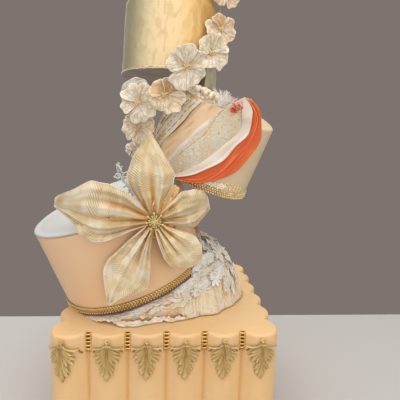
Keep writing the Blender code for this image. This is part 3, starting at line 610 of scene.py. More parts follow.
def beadStripPiece(index):                      # an open ladder: rungs between two rows of small beads
    x = (index - (base["lobes"] - 2) / 2) * base["pitch"]
    y = -base["half"] - sqrt((base["lobe"] + strip["radius"] + 0.0003) ** 2 - (base["pitch"] / 2) ** 2)
    top = base["height"] + strip["above"]
    pitch = strip["height"] / strip["rungs"]
    rungs = [[Vector((x + strip["apart"] * k / 3, y - 0.0016 + 0.001 * (k / 3) ** 2,
                      top - pitch * (i + 0.35))) for k in range(-3, 4)] for i in range(strip["rungs"])]
    bm = cords(rungs, strip["rung"], sides=2)
    merge(bm, beads([((x + side * strip["apart"], y - 0.0006, top - pitch * (i + 0.5) / 2), strip["bead"])
                     for i in range(2 * strip["rungs"]) for side in (-1, 1)], 10, 7))
    # seven dark cords close behind each ladder: painted shadow seen in the gaps between the rungs
    ropes = [[Vector((x + across, y + 0.001, top - strip["height"] * step / 20)) for step in range(21)]
             for across in strip["ropes"]]
    for side in (-1, 1):                        # short swags from the strip's foot to the leaves' arms
        neighbour = index + (1 if side > 0 else 0)
        droop = 0.0035 + 0.0015 * grain((index, side, 0), 1.3)
        end = 0.0108 if neighbour else 0.012
        for strand in (0, pi):
            path = []
            for step in range(33):
                t = step / 32
                across = end * t
                reach = sqrt(max(base["lobe"] ** 2 - (base["pitch"] / 2 - across) ** 2, 0)) + 0.0022
                z = base["height"] - 0.0235 - droop * sin(pi * t * 0.8) + 0.009 * t * t
                a = t * 8 * pi + strand
                spot = Vector((x + side * (across + 0.0025 * (1 - t)),
                               -base["half"] - max(reach, 0.0185 * (1 - t)), z))
                path.append(spot + strip["twist"] * Vector((0, cos(a), sin(a))))
            ropes.append(path)
    put(f"beadStrip{index + 1}", bm, brightGold, [f"bead_strip_{index + 1}"], sharp=70)
    put(f"stripRopes{index + 1}", cords(ropes, strip["rope"], sides=1), bronze, sharp=70)


for number in range(base["lobes"]):
    leafPiece(number)
for number in range(base["lobes"] - 1):
    beadStripPiece(number)
print("ornaments made")


def leanTop(bm, tier):                          # the upper half leans to the sloping top
    for vert in bm.verts:
        share = max(0.0, vert.co.z / tier["height"] * 2 - 1)
        vert.co.z += share * (rimHeight(tier, vert.co.x, vert.co.y) - tier["height"])


def roundedEdge(radius, height, edge):          # a quarter round in five steps
    turns = [i * pi / 10 for i in range(1, 6)]
    return [(radius - edge * (1 - cos(a)), height - edge * (1 - sin(a))) for a in turns]


def sideProfile(tier, height, rows=10):
    low, high = sideRadius(tier, 0), sideRadius(tier, height)
    start, edge = 0.0015, 0.003                 # where the side begins, the rounding at the top
    foot = [(0, 0), (low * 0.5, 0), (low - 0.0012, 0), (low - 0.0003, 0.0004)]
    side = [(low + (high - low) * i / rows, start + (height - edge - start) * i / rows)
            for i in range(rows + 1)]
    top = roundedEdge(high, height, edge) + [(high * 0.7, height), (high * 0.35, height), (0, height)]
    return foot + side + top


def tierPiece(name, tier, tilt, height, swell, finish, node):
    bm = lathe(sideProfile(tier, height), roundSteps)
    leanTop(bm, tier)
    size, seed, inside = swell
    for vert in bm.verts:                       # hand-laid icing isn't quite round
        if 0.001 < vert.co.z and hypot(vert.co.x, vert.co.y) > inside:
            vert.co *= 1 + 0.004 * grain(vert.co, size, seed)
    put(name, bm, finish, [node], sharp=60, move=tilt)


whiteTop = {"thick": 0.0025, "gap": 0.0003, "uneven": 0.0004}


def peachTierPieces():
    radius, top, thick = peachTier["high"], peachTier["height"], whiteTop["thick"]
    tierPiece("peachTier", peachTier, peachTilt, top - thick - whiteTop["gap"], (0.06, 5, 0.09),
              peachIcing, "peach_tier")
    rim = [(radius - 0.0008 + 0.0016 * cos(a), top - thick / 2 + 0.00125 * sin(a))
           for a in (-1.5, -0.9, -0.3, 0.3, 0.9, 1.4)]
    inner = [(radius - 0.0022, top + 0.0002), (radius - 0.004, top - 0.0005)]
    profile = [(0, top - thick)] + rim + inner
    profile += [(radius * s, top + 0.0012 * (1 - s)) for s in (0.9, 0.75, 0.55, 0.3)] + [(0, top + 0.0015)]
    bm = lathe(profile, roundSteps)
    leanTop(bm, peachTier)
    for vert in bm.verts:
        far = hypot(vert.co.x, vert.co.y)
        if far < radius * 0.93 and vert.co.z > top - 0.02:
            uneven = whiteTop["uneven"] * grain(vert.co, 0.028, 7)
            vert.co.z += uneven * smoothStep(0.93, 0.8, far / radius)
    put("whiteTop", bm, whiteIcing, ["white_top"], sharp=60, move=peachTilt)


peachTierPieces()
weave = {"ribs": 84, "around": 1728, "rows": 12, "height": 0.0082, "stand": 0.0004, "swell": 0.0018,
         "rib": 0.00062, "picot": (0.0001, 0.0022, 0.0013), "board": (-0.0026, 0.0008, 0.0017)}
# painted shadow: a very dark red-brown for the ring under the peach tier's foot
shadowLine = plainPaper("shadowLine", (0.16, 0.07, 0.05), (0.1, 0.04, 0.03))


def peachBraidPiece():                          # slanted ribs that meet along the middle, as a woven braid
    outside = [(i / weave["rows"], weave["swell"]) for i in range(weave["rows"] + 1)]
    profile = []
    for t, swell in outside + [(0.85, 0), (0.5, 0), (0.15, 0)]:
        radius = sideRadius(peachTier, weave["height"] * t) + weave["stand"]
        profile.append((radius + swell * sin(pi * t) ** 0.6, weave["height"] * t))
    profile.append(profile[0])
    bm = lathe(profile, weave["around"])
    fold = bm.verts.layers.float.new("fold")
    for vert in bm.verts:
        radius, angle = hypot(vert.co.x, vert.co.y), atan2(vert.co.y, vert.co.x)
        t = vert.co.z / weave["height"]
        # painted shade through the fold attribute: dark in the valleys between the ribs, along the middle
        # seam and at the lower edge, all dark on the hidden inner faces
        if radius - sideRadius(peachTier, vert.co.z) > weave["stand"] + 0.0002:
            rib = abs(sin(angle * weave["ribs"] + 5.0 * abs(t - 0.5)))
            middle = smoothStep(0.16, 0.03, abs(t - 0.5))
            lift = weave["rib"] * (rib * 2.4 - 1.4 - 1.0 * middle)
            vert.co *= (radius + lift) / radius
            vert.co.z = t * weave["height"]
            vert[fold] = min(1.0, 2.0 * (1 - rib) + 0.3 * middle + 0.5 * smoothStep(0.22, 0.0, t))
        else:
            vert[fold] = 1
    bmesh.ops.transform(bm, matrix=peachTilt, verts=bm.verts)
    height, lift, size = weave["picot"]
    angles = [(i + 0.5) / weave["ribs"] * 180 for i in range(2 * weave["ribs"])]
    merge(bm, beads([(peachTilt @ onSide(peachTier, a, height, lift), size) for a in angles], 6, 4))
    put("peachBraid", bm, braidGold, ["peach_braid"])
    # a dark ring just under the tier's foot: painted shadow in the gap beneath the braid
    height, lift, size = weave["board"]
    board = [peachTilt @ onSide(peachTier, a * 360 / roundSteps, height, lift) for a in range(roundSteps)]
    put("peachShadowRing", cords([board], size, closed=True, sides=2), shadowLine)


peachBraidPiece()
print("peach tier made")

creamTrim = {"bead": 0.0017, "pitch": 0.0039, "rows": (0.0016, 0.0049, 0.008), "pearls": 44, "dots": 15,
             "pearl": 0.0021, "dot": 0.0018,    # the band's outline is in tenths of a millimetre
             "band": ((4, 2), (10, 8), (7, 88), (2, 91), (-1, 91), (3, 2), (4, 2))}
sequinGold = metalTrim("sequinGold", (0.92, 0.77, 0.45), (0.7, 0.49, 0.21), 0.32, 0.6)


def creamTierPieces():
    low = creamTier["low"]
    tierPiece("creamTier", creamTier, creamTilt, creamTier["height"], (0.05, 9, 0.06),
              creamIcing, "cream_tier")
    draw = random.Random(21)
    spots = []
    for row, height in enumerate(creamTrim["rows"]):
        count = int(2 * pi * low / creamTrim["pitch"])
        for i in range(count):
            angle = (i + 0.5 * (row % 2)) / count * 360
            lift = 0.0011 + draw.uniform(-0.0002, 0.0003)
            spots.append((creamTilt @ onSide(creamTier, angle, height, lift),
                          creamTrim["bead"] * draw.uniform(0.85, 1.12)))
    bm = beads(spots, 8, 6)
    band = lathe([(low + out / 10000, up / 10000) for out, up in creamTrim["band"]], roundSteps)
    bmesh.ops.transform(band, matrix=creamTilt, verts=band.verts)
    # painted shade: the band behind the beads is dark all over, for the gaps between them
    fold = band.verts.layers.float.new("fold")
    for vert in band.verts:
        vert[fold] = 1
    merge(bm, band)
    for i in range(creamTrim["dots"]):          # loose gold dots to the right, above the trim
        share = i / creamTrim["dots"]
        angle = 20 + 30 * share + 5 * (i * 0.618 % 1)
        height = 0.0118 + 0.012 * (i * 0.382 % 1) * (1 - 0.4 * share)
        spots.append((creamTilt @ onSide(creamTier, angle, height, 0.0006), creamTrim["dot"]))
    merge(bm, beads(spots[-creamTrim["dots"]:], 8, 6))
    put("creamBraid", bm, sequinGold, ["cream_braid"])

    spots = []
    for i in range(creamTrim["pearls"]):        # cream pearls in a band that widens to the right
        angle = -14 + 38 * i / creamTrim["pearls"]
        rise = 0.0016 + 0.007 * smoothStep(0, 1, i / creamTrim["pearls"])
        spots.append((creamTilt @ onSide(creamTier, angle, 0.0112 + rise * (i * 0.618 % 1), 0.0009),
                      creamTrim["pearl"] * draw.uniform(0.75, 1.15)))
    put("footPearls", beads(spots, 8, 6), pearlSugar)


creamTierPieces()
print("cream tier made")

leafWrap = {"height": 0.097, "step": 0.0026, "edge": 0.004, "crinkle": 0.00045, "ragged": 0.0022,
            "rows": 26, "around": 200, "flakes": 150}
goldFoot = {"thick": 0.0016, "lip": 0.001, "gap": 0.0003, "paper": 0.0008}


def goldTierPieces():
    low, step, edge, rows = goldTier["low"], leafWrap["step"], leafWrap["edge"], leafWrap["rows"]
    wrap, tall = leafWrap["height"], goldTier["height"]
    top, high, start = sideRadius(goldTier, wrap), goldTier["high"] - step, wrap + 0.001
    profile = [(0, 0), (low * 0.6, 0), (low - 0.002, 0)]
    profile += [(sideRadius(goldTier, wrap * i / rows), wrap * i / rows) for i in range(rows + 1)]
    profile += [(top - 0.0006, wrap + 0.0006), (top - step, start)]
    profile += [(top - step + (high - top + step) * i / 8, start + (tall - edge - start) * i / 8)
                for i in range(1, 9)]
    profile += roundedEdge(high, tall, edge) + [(high * 0.6, tall), (high * 0.3, tall), (0, tall)]
    bm = lathe(profile, leafWrap["around"])
    fold = bm.verts.layers.float.new("fold")
    for vert in bm.verts:
        radius = hypot(vert.co.x, vert.co.y)
        if radius > 0.05 and vert.co.z < tall - 0.001:
            angle = atan2(vert.co.y, vert.co.x)
            run = Vector((cos(angle) * 0.07, sin(angle) * 0.07, vert.co.z * 0.35))
            crinkle = creases(run, 0.011, 3) - 0.6 + 0.5 * grain(vert.co, 0.008, 4)
            ragged = smoothStep(0.01, 0.0, vert.co.z)
            widen(vert.co, 1 + leafWrap["crinkle"] * crinkle / radius * (1 - ragged * 0.5))
            vert[fold] = 0.6 * smoothStep(0.75, 1.0, crinkle + 0.6)
    put("goldTier", bm, goldLeafed, ["gold_tier"], sharp=45, move=goldTilt)

    draw = random.Random(4)
    bm = bmesh.new()                            # torn flakes of leaf along the foot
    fold = bm.verts.layers.float.new("fold")
    for i in range(leafWrap["flakes"]):
        angle = i / leafWrap["flakes"] * 360 + draw.uniform(-1, 1)
        drop, wide = draw.uniform(0.0006, leafWrap["ragged"]), draw.uniform(1.0, 2.2)
        # painted shadow: some flakes are marked dark brown under the tier's foot
        dark = 2.0 if i % 4 == 1 or i % 7 == 2 else 0.5
        for vert, _, t in gridOf(bm, 4, 2):
            w = vert.co.x
            height = 0.0022 if t > 0.5 else (0.0008 if t > -0.5 else -drop * (1 - abs(w) ** 1.5))
            lift = 0.0003 + 0.0007 * (1 - (t + 1) / 2) * draw.uniform(0.4, 1.2)
            vert.co = onSide(goldTier, angle + wide * w, height, lift)
            vert[fold] = 0.1 if t > 0.5 else dark
    put("leafFlakes", bm, goldLeafed, wall=0.0003, move=goldTilt)

    lip, thick, level = goldFoot["lip"], goldFoot["thick"], -goldFoot["gap"]
    profile = [(low * s, level - thick) for s in (0, 0.3, 0.6, 0.85)]
    profile += [(low - lip + 2 * lip * sin(a), level - thick / 2 - thick / 2 * cos(a))
                for a in (0.3, 0.9, 1.57, 2.2, 2.8)]
    profile += [(low * 0.8, level), (0, level)]
    bm = lathe(profile, roundSteps)
    for vert in bm.verts:                       # the foil's underside is wrinkled
        if hypot(vert.co.x, vert.co.y) < low * 0.9 and vert.co.z < -0.001:
            vert.co.z = min(vert.co.z + 0.0003 * creases(vert.co, 0.02, 8), level)
    put("goldBoard", bm, foilSilver, ["gold_board"], sharp=50, move=goldTilt)
    rim = []
    for i in range(360):                        # the board's torn paper edge
        away = low + 0.0011 + 0.0007 * grain(polar(1, radians(i)), 0.05, 3)
        drop = -0.001 + 0.001 * grain(polar(1, radians(i), 4), 0.04, 5)
        rim.append(goldTilt @ polar(away, radians(i), drop))
    put("boardEdge", cords([rim], goldFoot["paper"], closed=True, sides=1), rimPaper)


goldTierPieces()
scrap = {"from": 47, "to": 86, "drop": 0.019, "up": 0.011, "lift": 0.0026}


def scrapPiece():
    def shape(u, w):
        angle = scrap["from"] + (scrap["to"] - scrap["from"]) * u
        torn = 0.0016 * grain((u * 6, w, 0), 0.4, 2) * (1 - w) / 2
        height = (scrap["up"] - scrap["drop"]) / 2 + (scrap["up"] + scrap["drop"]) / 2 * w + torn
        crumple = 0.0012 * creases((u * 2.4, w * 0.8, 0), 0.55, 6)
        return goldTilt @ onSide(goldTier, angle, height, scrap["lift"] + crumple), crumple * 500
    put("waferScrap", paperSheet(40, 24, shape, 0.14), clearWafer, ["wafer_scrap"], 0.0007)


scrapPiece()
print("gold tier made")

shadedBrownPaper = plainPaper("shadedBrownPaper", (0.42, 0.25, 0.16), (0.26, 0.13, 0.08))
palePaper = plainPaper("palePaper", (0.7, 0.6, 0.46), (0.56, 0.46, 0.33))
# the lower post's dark brown paper also stands in for the shade in the gap between the tiers
posts = {"lower_neck": ((0, 0.01), 0.01, shadedBrownPaper), "upper_neck": ((0.028, 0.004), 0.008, palePaper)}


def postPiece(node):                            # a post wrapped in crumpled paper
    (x, y), radius, paper = posts[node]
    low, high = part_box(node)
    profile = [(radius, low[2] + (high[2] - low[2]) * i / 12) for i in range(13)]
    bm = lathe(profile, 40)
    fold = bm.verts.layers.float.new("fold")
    for vert in bm.verts:
        crumple = creases(vert.co, 0.006, 2)
        widen(vert.co, 1 + 0.1 * crumple)
        # painted shade: darker in the crumples' hollows
        vert[fold] = 1 - crumple
    bmesh.ops.holes_fill(bm, edges=[e for e in bm.edges if e.is_boundary], sides=0)
    put(node.replace("_n", "N"), bm, paper, [node], move=Matrix.Translation((x, y, 0)))


for node in posts:
    postPiece(node)

# ruffle bed: a crumpled heap under the peach tier, with rows of torn lace round it
bed = {"centre": (-0.01, -0.005), "low": 0.03, "high": 0.095, "clear": 0.0056,
       "reach": ((0, 0.128), (40, 0.118), (90, 0.1), (140, 0.118), (180, 0.112), (218, 0.138), (243, 0.13),
                 (270, 0.106), (300, 0.104), (322, 0.112), (360, 0.128))}
lacePink = sugarLace("lacePink", (0.92, 0.77, 0.63), (0.88, 0.79, 0.69), (0.9, 0.62, 0.37),
                     (0.66, 0.42, 0.12), 300, hollow=(0.84, 0.54, 0.3))
laceCool = sugarLace("laceCool", (0.9, 0.87, 0.8), (0.82, 0.83, 0.8), (0.9, 0.81, 0.67),
                     (0.64, 0.48, 0.18), 300)


def bedReach(turn):
    turn %= 360
    for (a, low), (b, high) in zip(bed["reach"], bed["reach"][1:]):
        if a <= turn <= b:
            return low + (high - low) * (1 - cos(pi * (turn - a) / (b - a))) / 2


def bedHeight(angle, out):
    share = ((1 + cos(angle)) / 2) ** 1.6
    peak = bed["low"] + (bed["high"] - bed["low"]) * share
    return peak * (1 - min(out, 1) ** 3) ** 0.68


def bedSpot(angle, out):                        # a point of the heap's plain surface
    reach = bedReach(degrees(angle)) * out
    return Vector((bed["centre"][0] + reach * cos(angle), bed["centre"][1] + reach * sin(angle),
                   base["height"] + 0.0006 + max(bedHeight(angle, out), 0)))


def bedLift(angle, out, up):                    # the same, raised square to that surface
    out = min(out, 1.0)
    side = bedSpot(angle + 0.02, out) - bedSpot(angle - 0.02, out)
    slope = bedSpot(angle, out) - bedSpot(angle, out - 0.03)
    normal = slope.cross(side)
    normal = (-normal if normal.z < 0 else normal).normalized()
    return bedSpot(angle, out) + normal * up


def clearOf(point, clear=bed["clear"]):         # keeps lace under the peach tier, or off its right side
    local = peachTilt.inverted() @ point
    radius, turn = hypot(local.x, local.y), degrees(atan2(local.x, -local.y))
    mayRise = 0.11 * smoothStep(48, 80, turn) * smoothStep(178, 140, turn)
    over, under = sideRadius(peachTier, local.z) + clear - radius, local.z + clear
    if under > 0 and over > -0.03 and local.z > mayRise - clear:
        local.z = max(mayRise * smoothStep(0.006, -0.004, over), 0) - clear
        under = local.z + clear
    if over > 0 and under > 0:
        if over < under * 0.9:
            widen(local, (radius + over) / radius)
        else:
            local.z = -clear
    pushed = peachTilt @ local
    return Vector((pushed.x, pushed.y, max(pushed.z, base["height"] + 0.0004)))


def bedCore():
    bm = bmesh.new()
    layers = layersOf(bm)
    bmesh.ops.create_uvsphere(bm, u_segments=300, v_segments=84, radius=1)
    for vert in bm.verts:
        out, angle = min(hypot(vert.co.x, vert.co.y), 1.0), atan2(vert.co.y, vert.co.x)
        ring = polar(1, angle, out * 0.9)
        long = creases((ring.x * 1.6, ring.y * 1.6, out * 4.2), 0.42, 3)
        short = creases(ring * 2.6, 0.34, 8)
        crumple = 0.004 * long + 0.0024 * short - 0.0034
        # painted shade: darker in the hollows between the crumples
        mark(vert, layers, angle, out, unit(0.22 - crumple * 100), 0)
        if vert.co.z <= 1e-5:
            vert.co = Vector((*bedSpot(angle, out * 0.95).to_2d(), base["height"] + 0.0003))
        else:
            vert.co = clearOf(bedLift(angle, out * 0.95, crumple * (1 - out ** 8)))
    put("ruffleCore", bm, lacePink, ["ruffle_bed"])


bedCore()
# ribbons of torn lace along the heap: from and to (angle, out), half width and lift in tenths of a millimetre
ribbons = ((203, 0.82, 330, 0.84, 70, 35), (198, 0.9, 318, 0.9, 60, 30), (210, 0.98, 306, 1.00, 60, 20),
           (226, 0.74, 372, 0.66, 80, 45), (252, 0.9, 392, 0.76, 70, 30), (262, 0.84, 398, 0.6, 80, 45),
           (280, 0.76, 405, 0.5, 80, 60), (300, 0.84, 385, 0.84, 60, 30), (20, 0.7, 120, 0.8, 90, 50),
           (10, 0.88, 110, 0.95, 90, 30), (90, 0.82, 215, 0.9, 90, 40), (100, 0.96, 208, 1.00, 80, 15),
           (240, 0.84, 345, 0.74, 50, 55), (310, 0.8, 402, 0.8, 70, 45), (215, 0.93, 290, 0.88, 40, 50),
           (200, 0.86, 262, 0.97, 40, 45), (232, 0.97, 296, 0.93, 40, 40), (296, 0.68, 380, 0.7, 70, 70))
laceWall = 0.0004
ribbonTints = {laceCool: (4, 6, 7, 9, 14, 18), laceWhite: (1, 5, 10, 13, 16)}       # the others are pink


def laceRibbon(seed, start, out, stop, far, half, lift):
    half, lift = half / 10000, lift / 10000

    def shape(u, w):
        turn = radians(start + (stop - start) * u)
        ring = (u * (stop - start) / 60, seed * 3.1, seed * 1.3)
        middle = out + (far - out) * u + 0.05 * grain(ring, 0.45, seed) + 0.03 * grain(ring, 0.14, seed + 1)
        taper = min(1.0, 7 * u + 0.12, 7 * (1 - u) + 0.12)
        side = (ring[0], w > 0, seed)
        torn = 0.8 + 0.65 * grain(side, 0.1, seed) + 0.55 * grain(side, 0.035, 2)
        across = w * half * taper * torn
        folds = creases((ring[0] * 0.8, w * 0.9, seed), 0.36, seed) * 0.6
        folds += creases((ring[0] * 3.4, w * 1.2, seed), 0.5, 7) * 0.4
        twist = sin(ring[0] * 8 + 3.0 * grain(ring, 0.5, 3))
        up = lift + 0.0026 * (folds - 0.4) + half * (0.24 * twist * w + 0.1 * w * w) + 0.0008
        turn += 0.03 * grain(ring, 0.2, 5)
        middle = min(middle, 1.0)
        slope = (bedSpot(turn, middle) - bedSpot(turn, middle - 0.03)).normalized()
        spot = bedLift(turn, middle, max(up, 0.0004)) + slope * across
        spot.z = max(spot.z, base["height"] + 0.0012 + 0.2 * max(up, 0))
        # painted shade: darker in the low folds and on the ribbon's lowered side
        return clearOf(spot), 0.62 - 0.8 * folds - 0.25 * w * twist
    finish = next((tint for tint, numbers in ribbonTints.items() if seed in numbers), lacePink)
    sheet = paperSheet(int(abs(stop - start) * 4), 12, shape, 0.26)
    put(f"laceRibbon{seed}", sheet, finish, wall=laceWall)


for number, row in enumerate(ribbons):
    laceRibbon(number + 1, *row)
skirt = {"from": -82, "to": 58, "out": 0.7, "edge": 1.03, "waves": 44, "wave": 0.0013, "cord": 0.0006}
laceEdge = sugarLace("laceEdge", (0.86, 0.73, 0.53), (0.84, 0.76, 0.63), (0.88, 0.64, 0.37),
                     (0.64, 0.41, 0.12), 380, 0.4, 0.9)


def laceSkirtPiece():                           # a lace fan under the heap on the right, with a gold edge
    def shape(u, w):
        turn = skirt["from"] + (skirt["to"] - skirt["from"]) * u
        angle, free = radians(turn), (w + 1) / 2
        ring = polar(1.2, angle, 0.5)
        here = (*ring[:2], free)
        shown = smoothStep(0, 0.14, u) * smoothStep(1, 0.86, u)
        scallop = 0.012 * abs(sin(angle * 9)) + 0.035 * grain(ring, 0.25, 4)
        full = 0.95 + (skirt["edge"] - 0.95) * shown + scallop * shown
        far = skirt["out"] + (full - skirt["out"]) * free
        drift = 9 * grain((*ring[:2], free * 0.25), 0.22, 2)
        fold = 0.62 * sin(angle * skirt["waves"] * 2 + drift + 2 * free)
        fold += 0.38 * sin(angle * skirt["waves"] * 0.86 + 6 * grain(ring, 0.4, 5))
        fold += 0.5 * grain(here, 0.1, 6)
        swing = 1 + fold * (0.6 + 1.1 * abs(grain(ring, 0.25, 8)) * 2)
        rise = 0.003 + skirt["wave"] * swing * (1.1 - 0.45 * free) + 0.0012 * grain(here, 0.08, 1)
        over = max(far - 1.0, 0.0) * bedReach(turn)
        spot = bedLift(angle, min(far, 1.0), rise * (1 - 0.5 * free ** 3)) + over * polar(1, angle)
        least = 0.001 + 0.4 * rise * (1 - free) + 0.5 * skirt["wave"] * (1 + fold)
        spot.z = max(spot.z, base["height"] + least)
        # painted shade: darker in the wave troughs and toward the inner side under the heap
        return clearOf(spot), 0.3 - 0.4 * fold + 0.25 * (1 - free)
    put("laceSkirt", paperSheet(420, 12, shape, 0.08), laceEdge, wall=0.0006)
    rim = [shape(i / 320, 1.0)[0] + Vector((0, 0, 0.0006)) for i in range(16, 306)]
    put("skirtCord", cords([rim], skirt["cord"], sides=1), brightGold)


laceSkirtPiece()
# torn tufts of lace on the heap: angle and out of the middle, then size and lift in millimetres
tufts = {"set": ((322, 0.86, 13, 5), (334, 0.93, 14, 3), (350, 0.62, 16, 6), (5, 0.54, 16, 8),
                 (20, 0.62, 15, 8), (338, 0.58, 15, 8), (352, 0.78, 15, 6), (10, 0.76, 15, 6),
                 (28, 0.8, 14, 5), (0, 0.46, 15, 8), (342, 0.72, 14, 7), (300, 0.9, 8, 6),
                 (-4, 0.84, 13, 4), (14, 0.88, 13, 4), (40, 0.66, 14, 6), (30, 0.58, 14, 7),
                 (42, 0.44, 16, 9), (56, 0.5, 16, 9), (22, 0.44, 16, 10), (64, 0.62, 15, 8),
                 (34, 0.34, 16, 10), (10, 0.4, 15, 9)), "more": 54, "points": 7,
         "finishes": {"laceTuftsCool": laceCool, "laceTuftsWhite": laceWhite, "laceTuftsPink": lacePink}}


def tuftSheet(bm, layers, angle, out, size, lift, draw):
    turn, lean, seed = draw.uniform(0, 6.3), draw.uniform(0.0, 0.3), draw.uniform(0, 90)
    here = bedLift(angle, out, lift)
    side = Vector((-sin(angle), cos(angle), 0))
    normal = (bedLift(angle, out, 0.01) - bedLift(angle, out, 0)).normalized()
    frameOf = Matrix((side, normal.cross(side), normal)).transposed()
    new = bmesh.ops.create_grid(bm, x_segments=20, y_segments=20, size=1)["verts"]
    for vert in new:
        x, y = vert.co.x * sqrt(1 - vert.co.y ** 2 / 2), vert.co.y * sqrt(1 - vert.co.x ** 2 / 2)
        far, around = hypot(x, y), atan2(y, x)
        spike = abs(sin(around * tufts["points"] / 2 + turn)) ** 0.8
        spike = 0.5 + 0.42 * spike + 0.55 * grain(polar(1, around, seed), 0.25, 1)
        rough = creases((x, y, seed), 0.95, 2)
        cup = (0.12 * far ** 2 + 0.14 * rough + lean * 0.4 * far * cos(around)) * size
        flat = polar(far * spike, around + turn) * size
        flat.z = cup + 0.09 * size * far * sin(around * 6 + turn)
        vert.co = clearOf(here + frameOf @ flat, bed["clear"] + 0.001)
        vert.co.z = max(vert.co.z, base["height"] + 0.0008)
        # painted shade: darker in the tuft's low crumples and toward its middle
        mark(vert, layers, far, x, unit(0.45 - rough * 0.6 - 0.3 * far), max(0.0, far * 1.6 - 0.6))


def tuftPieces():
    draw = random.Random(7)
    for part, (name, finish) in enumerate(tufts["finishes"].items()):
        bm = bmesh.new()
        layers = layersOf(bm)
        for i, (angle, out, size, lift) in enumerate(tufts["set"]):
            if i % 2 == part:
                tuftSheet(bm, layers, radians(angle), out, size / 1000, lift / 1000, draw)
        for _ in range(tufts["more"] // 3):
            spans = (draw.uniform(-24, 60), draw.uniform(-24, 150), draw.uniform(60, 200))
            tuftSheet(bm, layers, radians(draw.choice(spans)), draw.uniform(0.6, 0.98),
                      draw.uniform(0.006, 0.0125), draw.uniform(0.003, 0.006), draw)
        put(name, bm, finish, wall=laceWall)


tuftPieces()
strands = {"count": 76, "from": -158, "to": 20, "radius": 0.00045}


def laceStrandPiece():                          # loose threads of lace along the front of the heap
    draw = random.Random(19)
    paths = []
    for strand in range(strands["count"]):
        turn, out = draw.uniform(strands["from"], strands["to"]), draw.uniform(0.74, 0.99)
        length, lift, drift = draw.uniform(12, 34), draw.uniform(0.0035, 0.0065), draw.uniform(-0.05, 0.05)
        path = []
        for step in range(18):
            t = step / 17
            away = out + drift * t + 0.035 * grain((t * 2.5, strand, 0), 0.6, 1)
            up = lift * (0.7 + 0.6 * grain((t * 3, strand, 5), 0.7, 2)) + 0.0014 * sin(pi * t)
            spot = bedLift(radians(turn + length * t), min(away, 1.0), up)
            path.append(clearOf(spot, bed["clear"] + 0.001))
        paths.append(path)
    bm = cords(paths, strands["radius"], sides=1, taper=lambda t: 1 - 0.5 * abs(2 * t - 1))
    put("laceStrands", bm, laceCool)


laceStrandPiece()
print("ruffle bed made")

# sheets of paper and lace on the cream tier's side: two curves each, (degrees from the front, millimetres up)
curves = {"barkBack": ((-122, 4), (-124, 40), (-118, 80), (-108, 112)),
          "peachLeft": ((-62, 3), (-58, 22), (-54, 40), (-47, 58), (-41, 76), (-37, 94), (-31, 112)),
          "peachRight": ((-42, 3), (-39.5, 22), (-36, 40), (-31, 58), (-25, 76), (-19, 94), (-12, 113)),
          "whiteLeft": ((-31, 3), (-20, 17), (-7, 43), (3.5, 73), (11.5, 97), (5.5, 118), (0.2, 136)),
          "whiteRight": ((-28, 2), (-8, 23), (5, 50), (14.5, 79), (18, 102), (14, 125), (1.4, 138)),
          "frillFold": ((-24, 2), (-2, 13), (9, 38), (18.5, 62), (23, 91), (22, 119), (4, 138)),
          "frillOuter": ((-18, 3), (5, 17), (22, 38), (34, 70), (36.5, 97), (26, 126), (8, 139))}
sheetWall = 0.0009


def betweenCurves(left, right, spread=(0.0, 1.0), lift=0.0033, relief=None, sway=(0, 1, 0)):
    far, waves, phase = sway                    # how far the right edge sways to and fro, in degrees

    def shape(t, w):
        a, b = (alongCurve([(*p, 0) for p in curves[side]], t) for side in (left, right))
        b.x += far * sin(2 * pi * waves * t + phase) * sin(pi * t) ** 0.5
        share = spread[0] + (spread[1] - spread[0]) * (w + 1) / 2
        angle, height = a.x + (b.x - a.x) * share, a.y + (b.y - a.y) * share
        rise, depth = relief(t, w, angle, height) if relief else (0, 0)
        return creamTilt @ onSide(creamTier, angle, height / 1000, lift + rise), depth
    return shape


bark = {"strips": ((0.00, 0.2), (0.15, 0.36), (0.31, 0.5), (0.45, 0.64), (0.59, 0.74), (0.7, 0.86),
                   (0.82, 0.98)), "lift": 0.0028, "wall": 0.0008}
barkGrey = sugarLace("barkGrey", (0.94, 0.84, 0.66), (0.91, 0.83, 0.68), (0.92, 0.72, 0.49),
                     (0.54, 0.36, 0.12), 240, 0.8, 1.0, barkLine)


def barkPiece(n, spread):                       # a crinkled strip up the tier's left, over the one before
    def relief(t, w, *_):
        long = creases((t * 1.4, w * 1.8 + n, n), 0.5, n) * 0.5
        long += creases((t * 9.0, w * 2.2, n), 0.6, 3) * 0.5
        edge = 0.0009 * smoothStep(0.55, 1.0, abs(w)) * (0.6 + 0.8 * grain((t, n, w > 0), 0.09, 2))
        # dark lines along the crease ridges, and a little painted shade in the lowest places
        dark = 0.46 * smoothStep(0.86, 0.97, long) + 0.06 * smoothStep(0.3, 0.0, long)
        return 0.0003 * (n % 3) + 0.0014 * long + edge, dark
    sheet = paperSheet(150, 22, betweenCurves("barkBack", "peachLeft", spread, bark["lift"], relief), 0.22)
    put(f"barkStrip{n + 1}", sheet, (laceBark, barkGrey)[n % 2],
        () if n else ["bark_lace"], bark["wall"])


for number, spread in enumerate(bark["strips"]):
    barkPiece(number, spread)
threads = {"at": (0.16, 0.33, 0.46, 0.56, 0.65, 0.74, 0.83, 0.92), "dashes": 16, "radius": 0.00042,
           "lift": 0.0056}


def barkThreadPiece():                          # dashed threads along the bark strips
    draw = random.Random(5)
    paths = []
    for number, across in enumerate(threads["at"]):
        for dash in range(threads["dashes"]):
            start = (dash + draw.uniform(0.0, 0.5)) / threads["dashes"]
            length = draw.uniform(0.4, 0.9) / threads["dashes"]
            spot = across + 0.012 * grain((start * 5, number, 0), 1.0, 2)
            shape = betweenCurves("barkBack", "peachLeft", (spot, spot), threads["lift"])
            paths.append([shape(min(start + length * k / 6, 1), 0)[0] for k in range(7)])
    put("barkThreads", cords(paths, threads["radius"], sides=1), bronze)


barkThreadPiece()


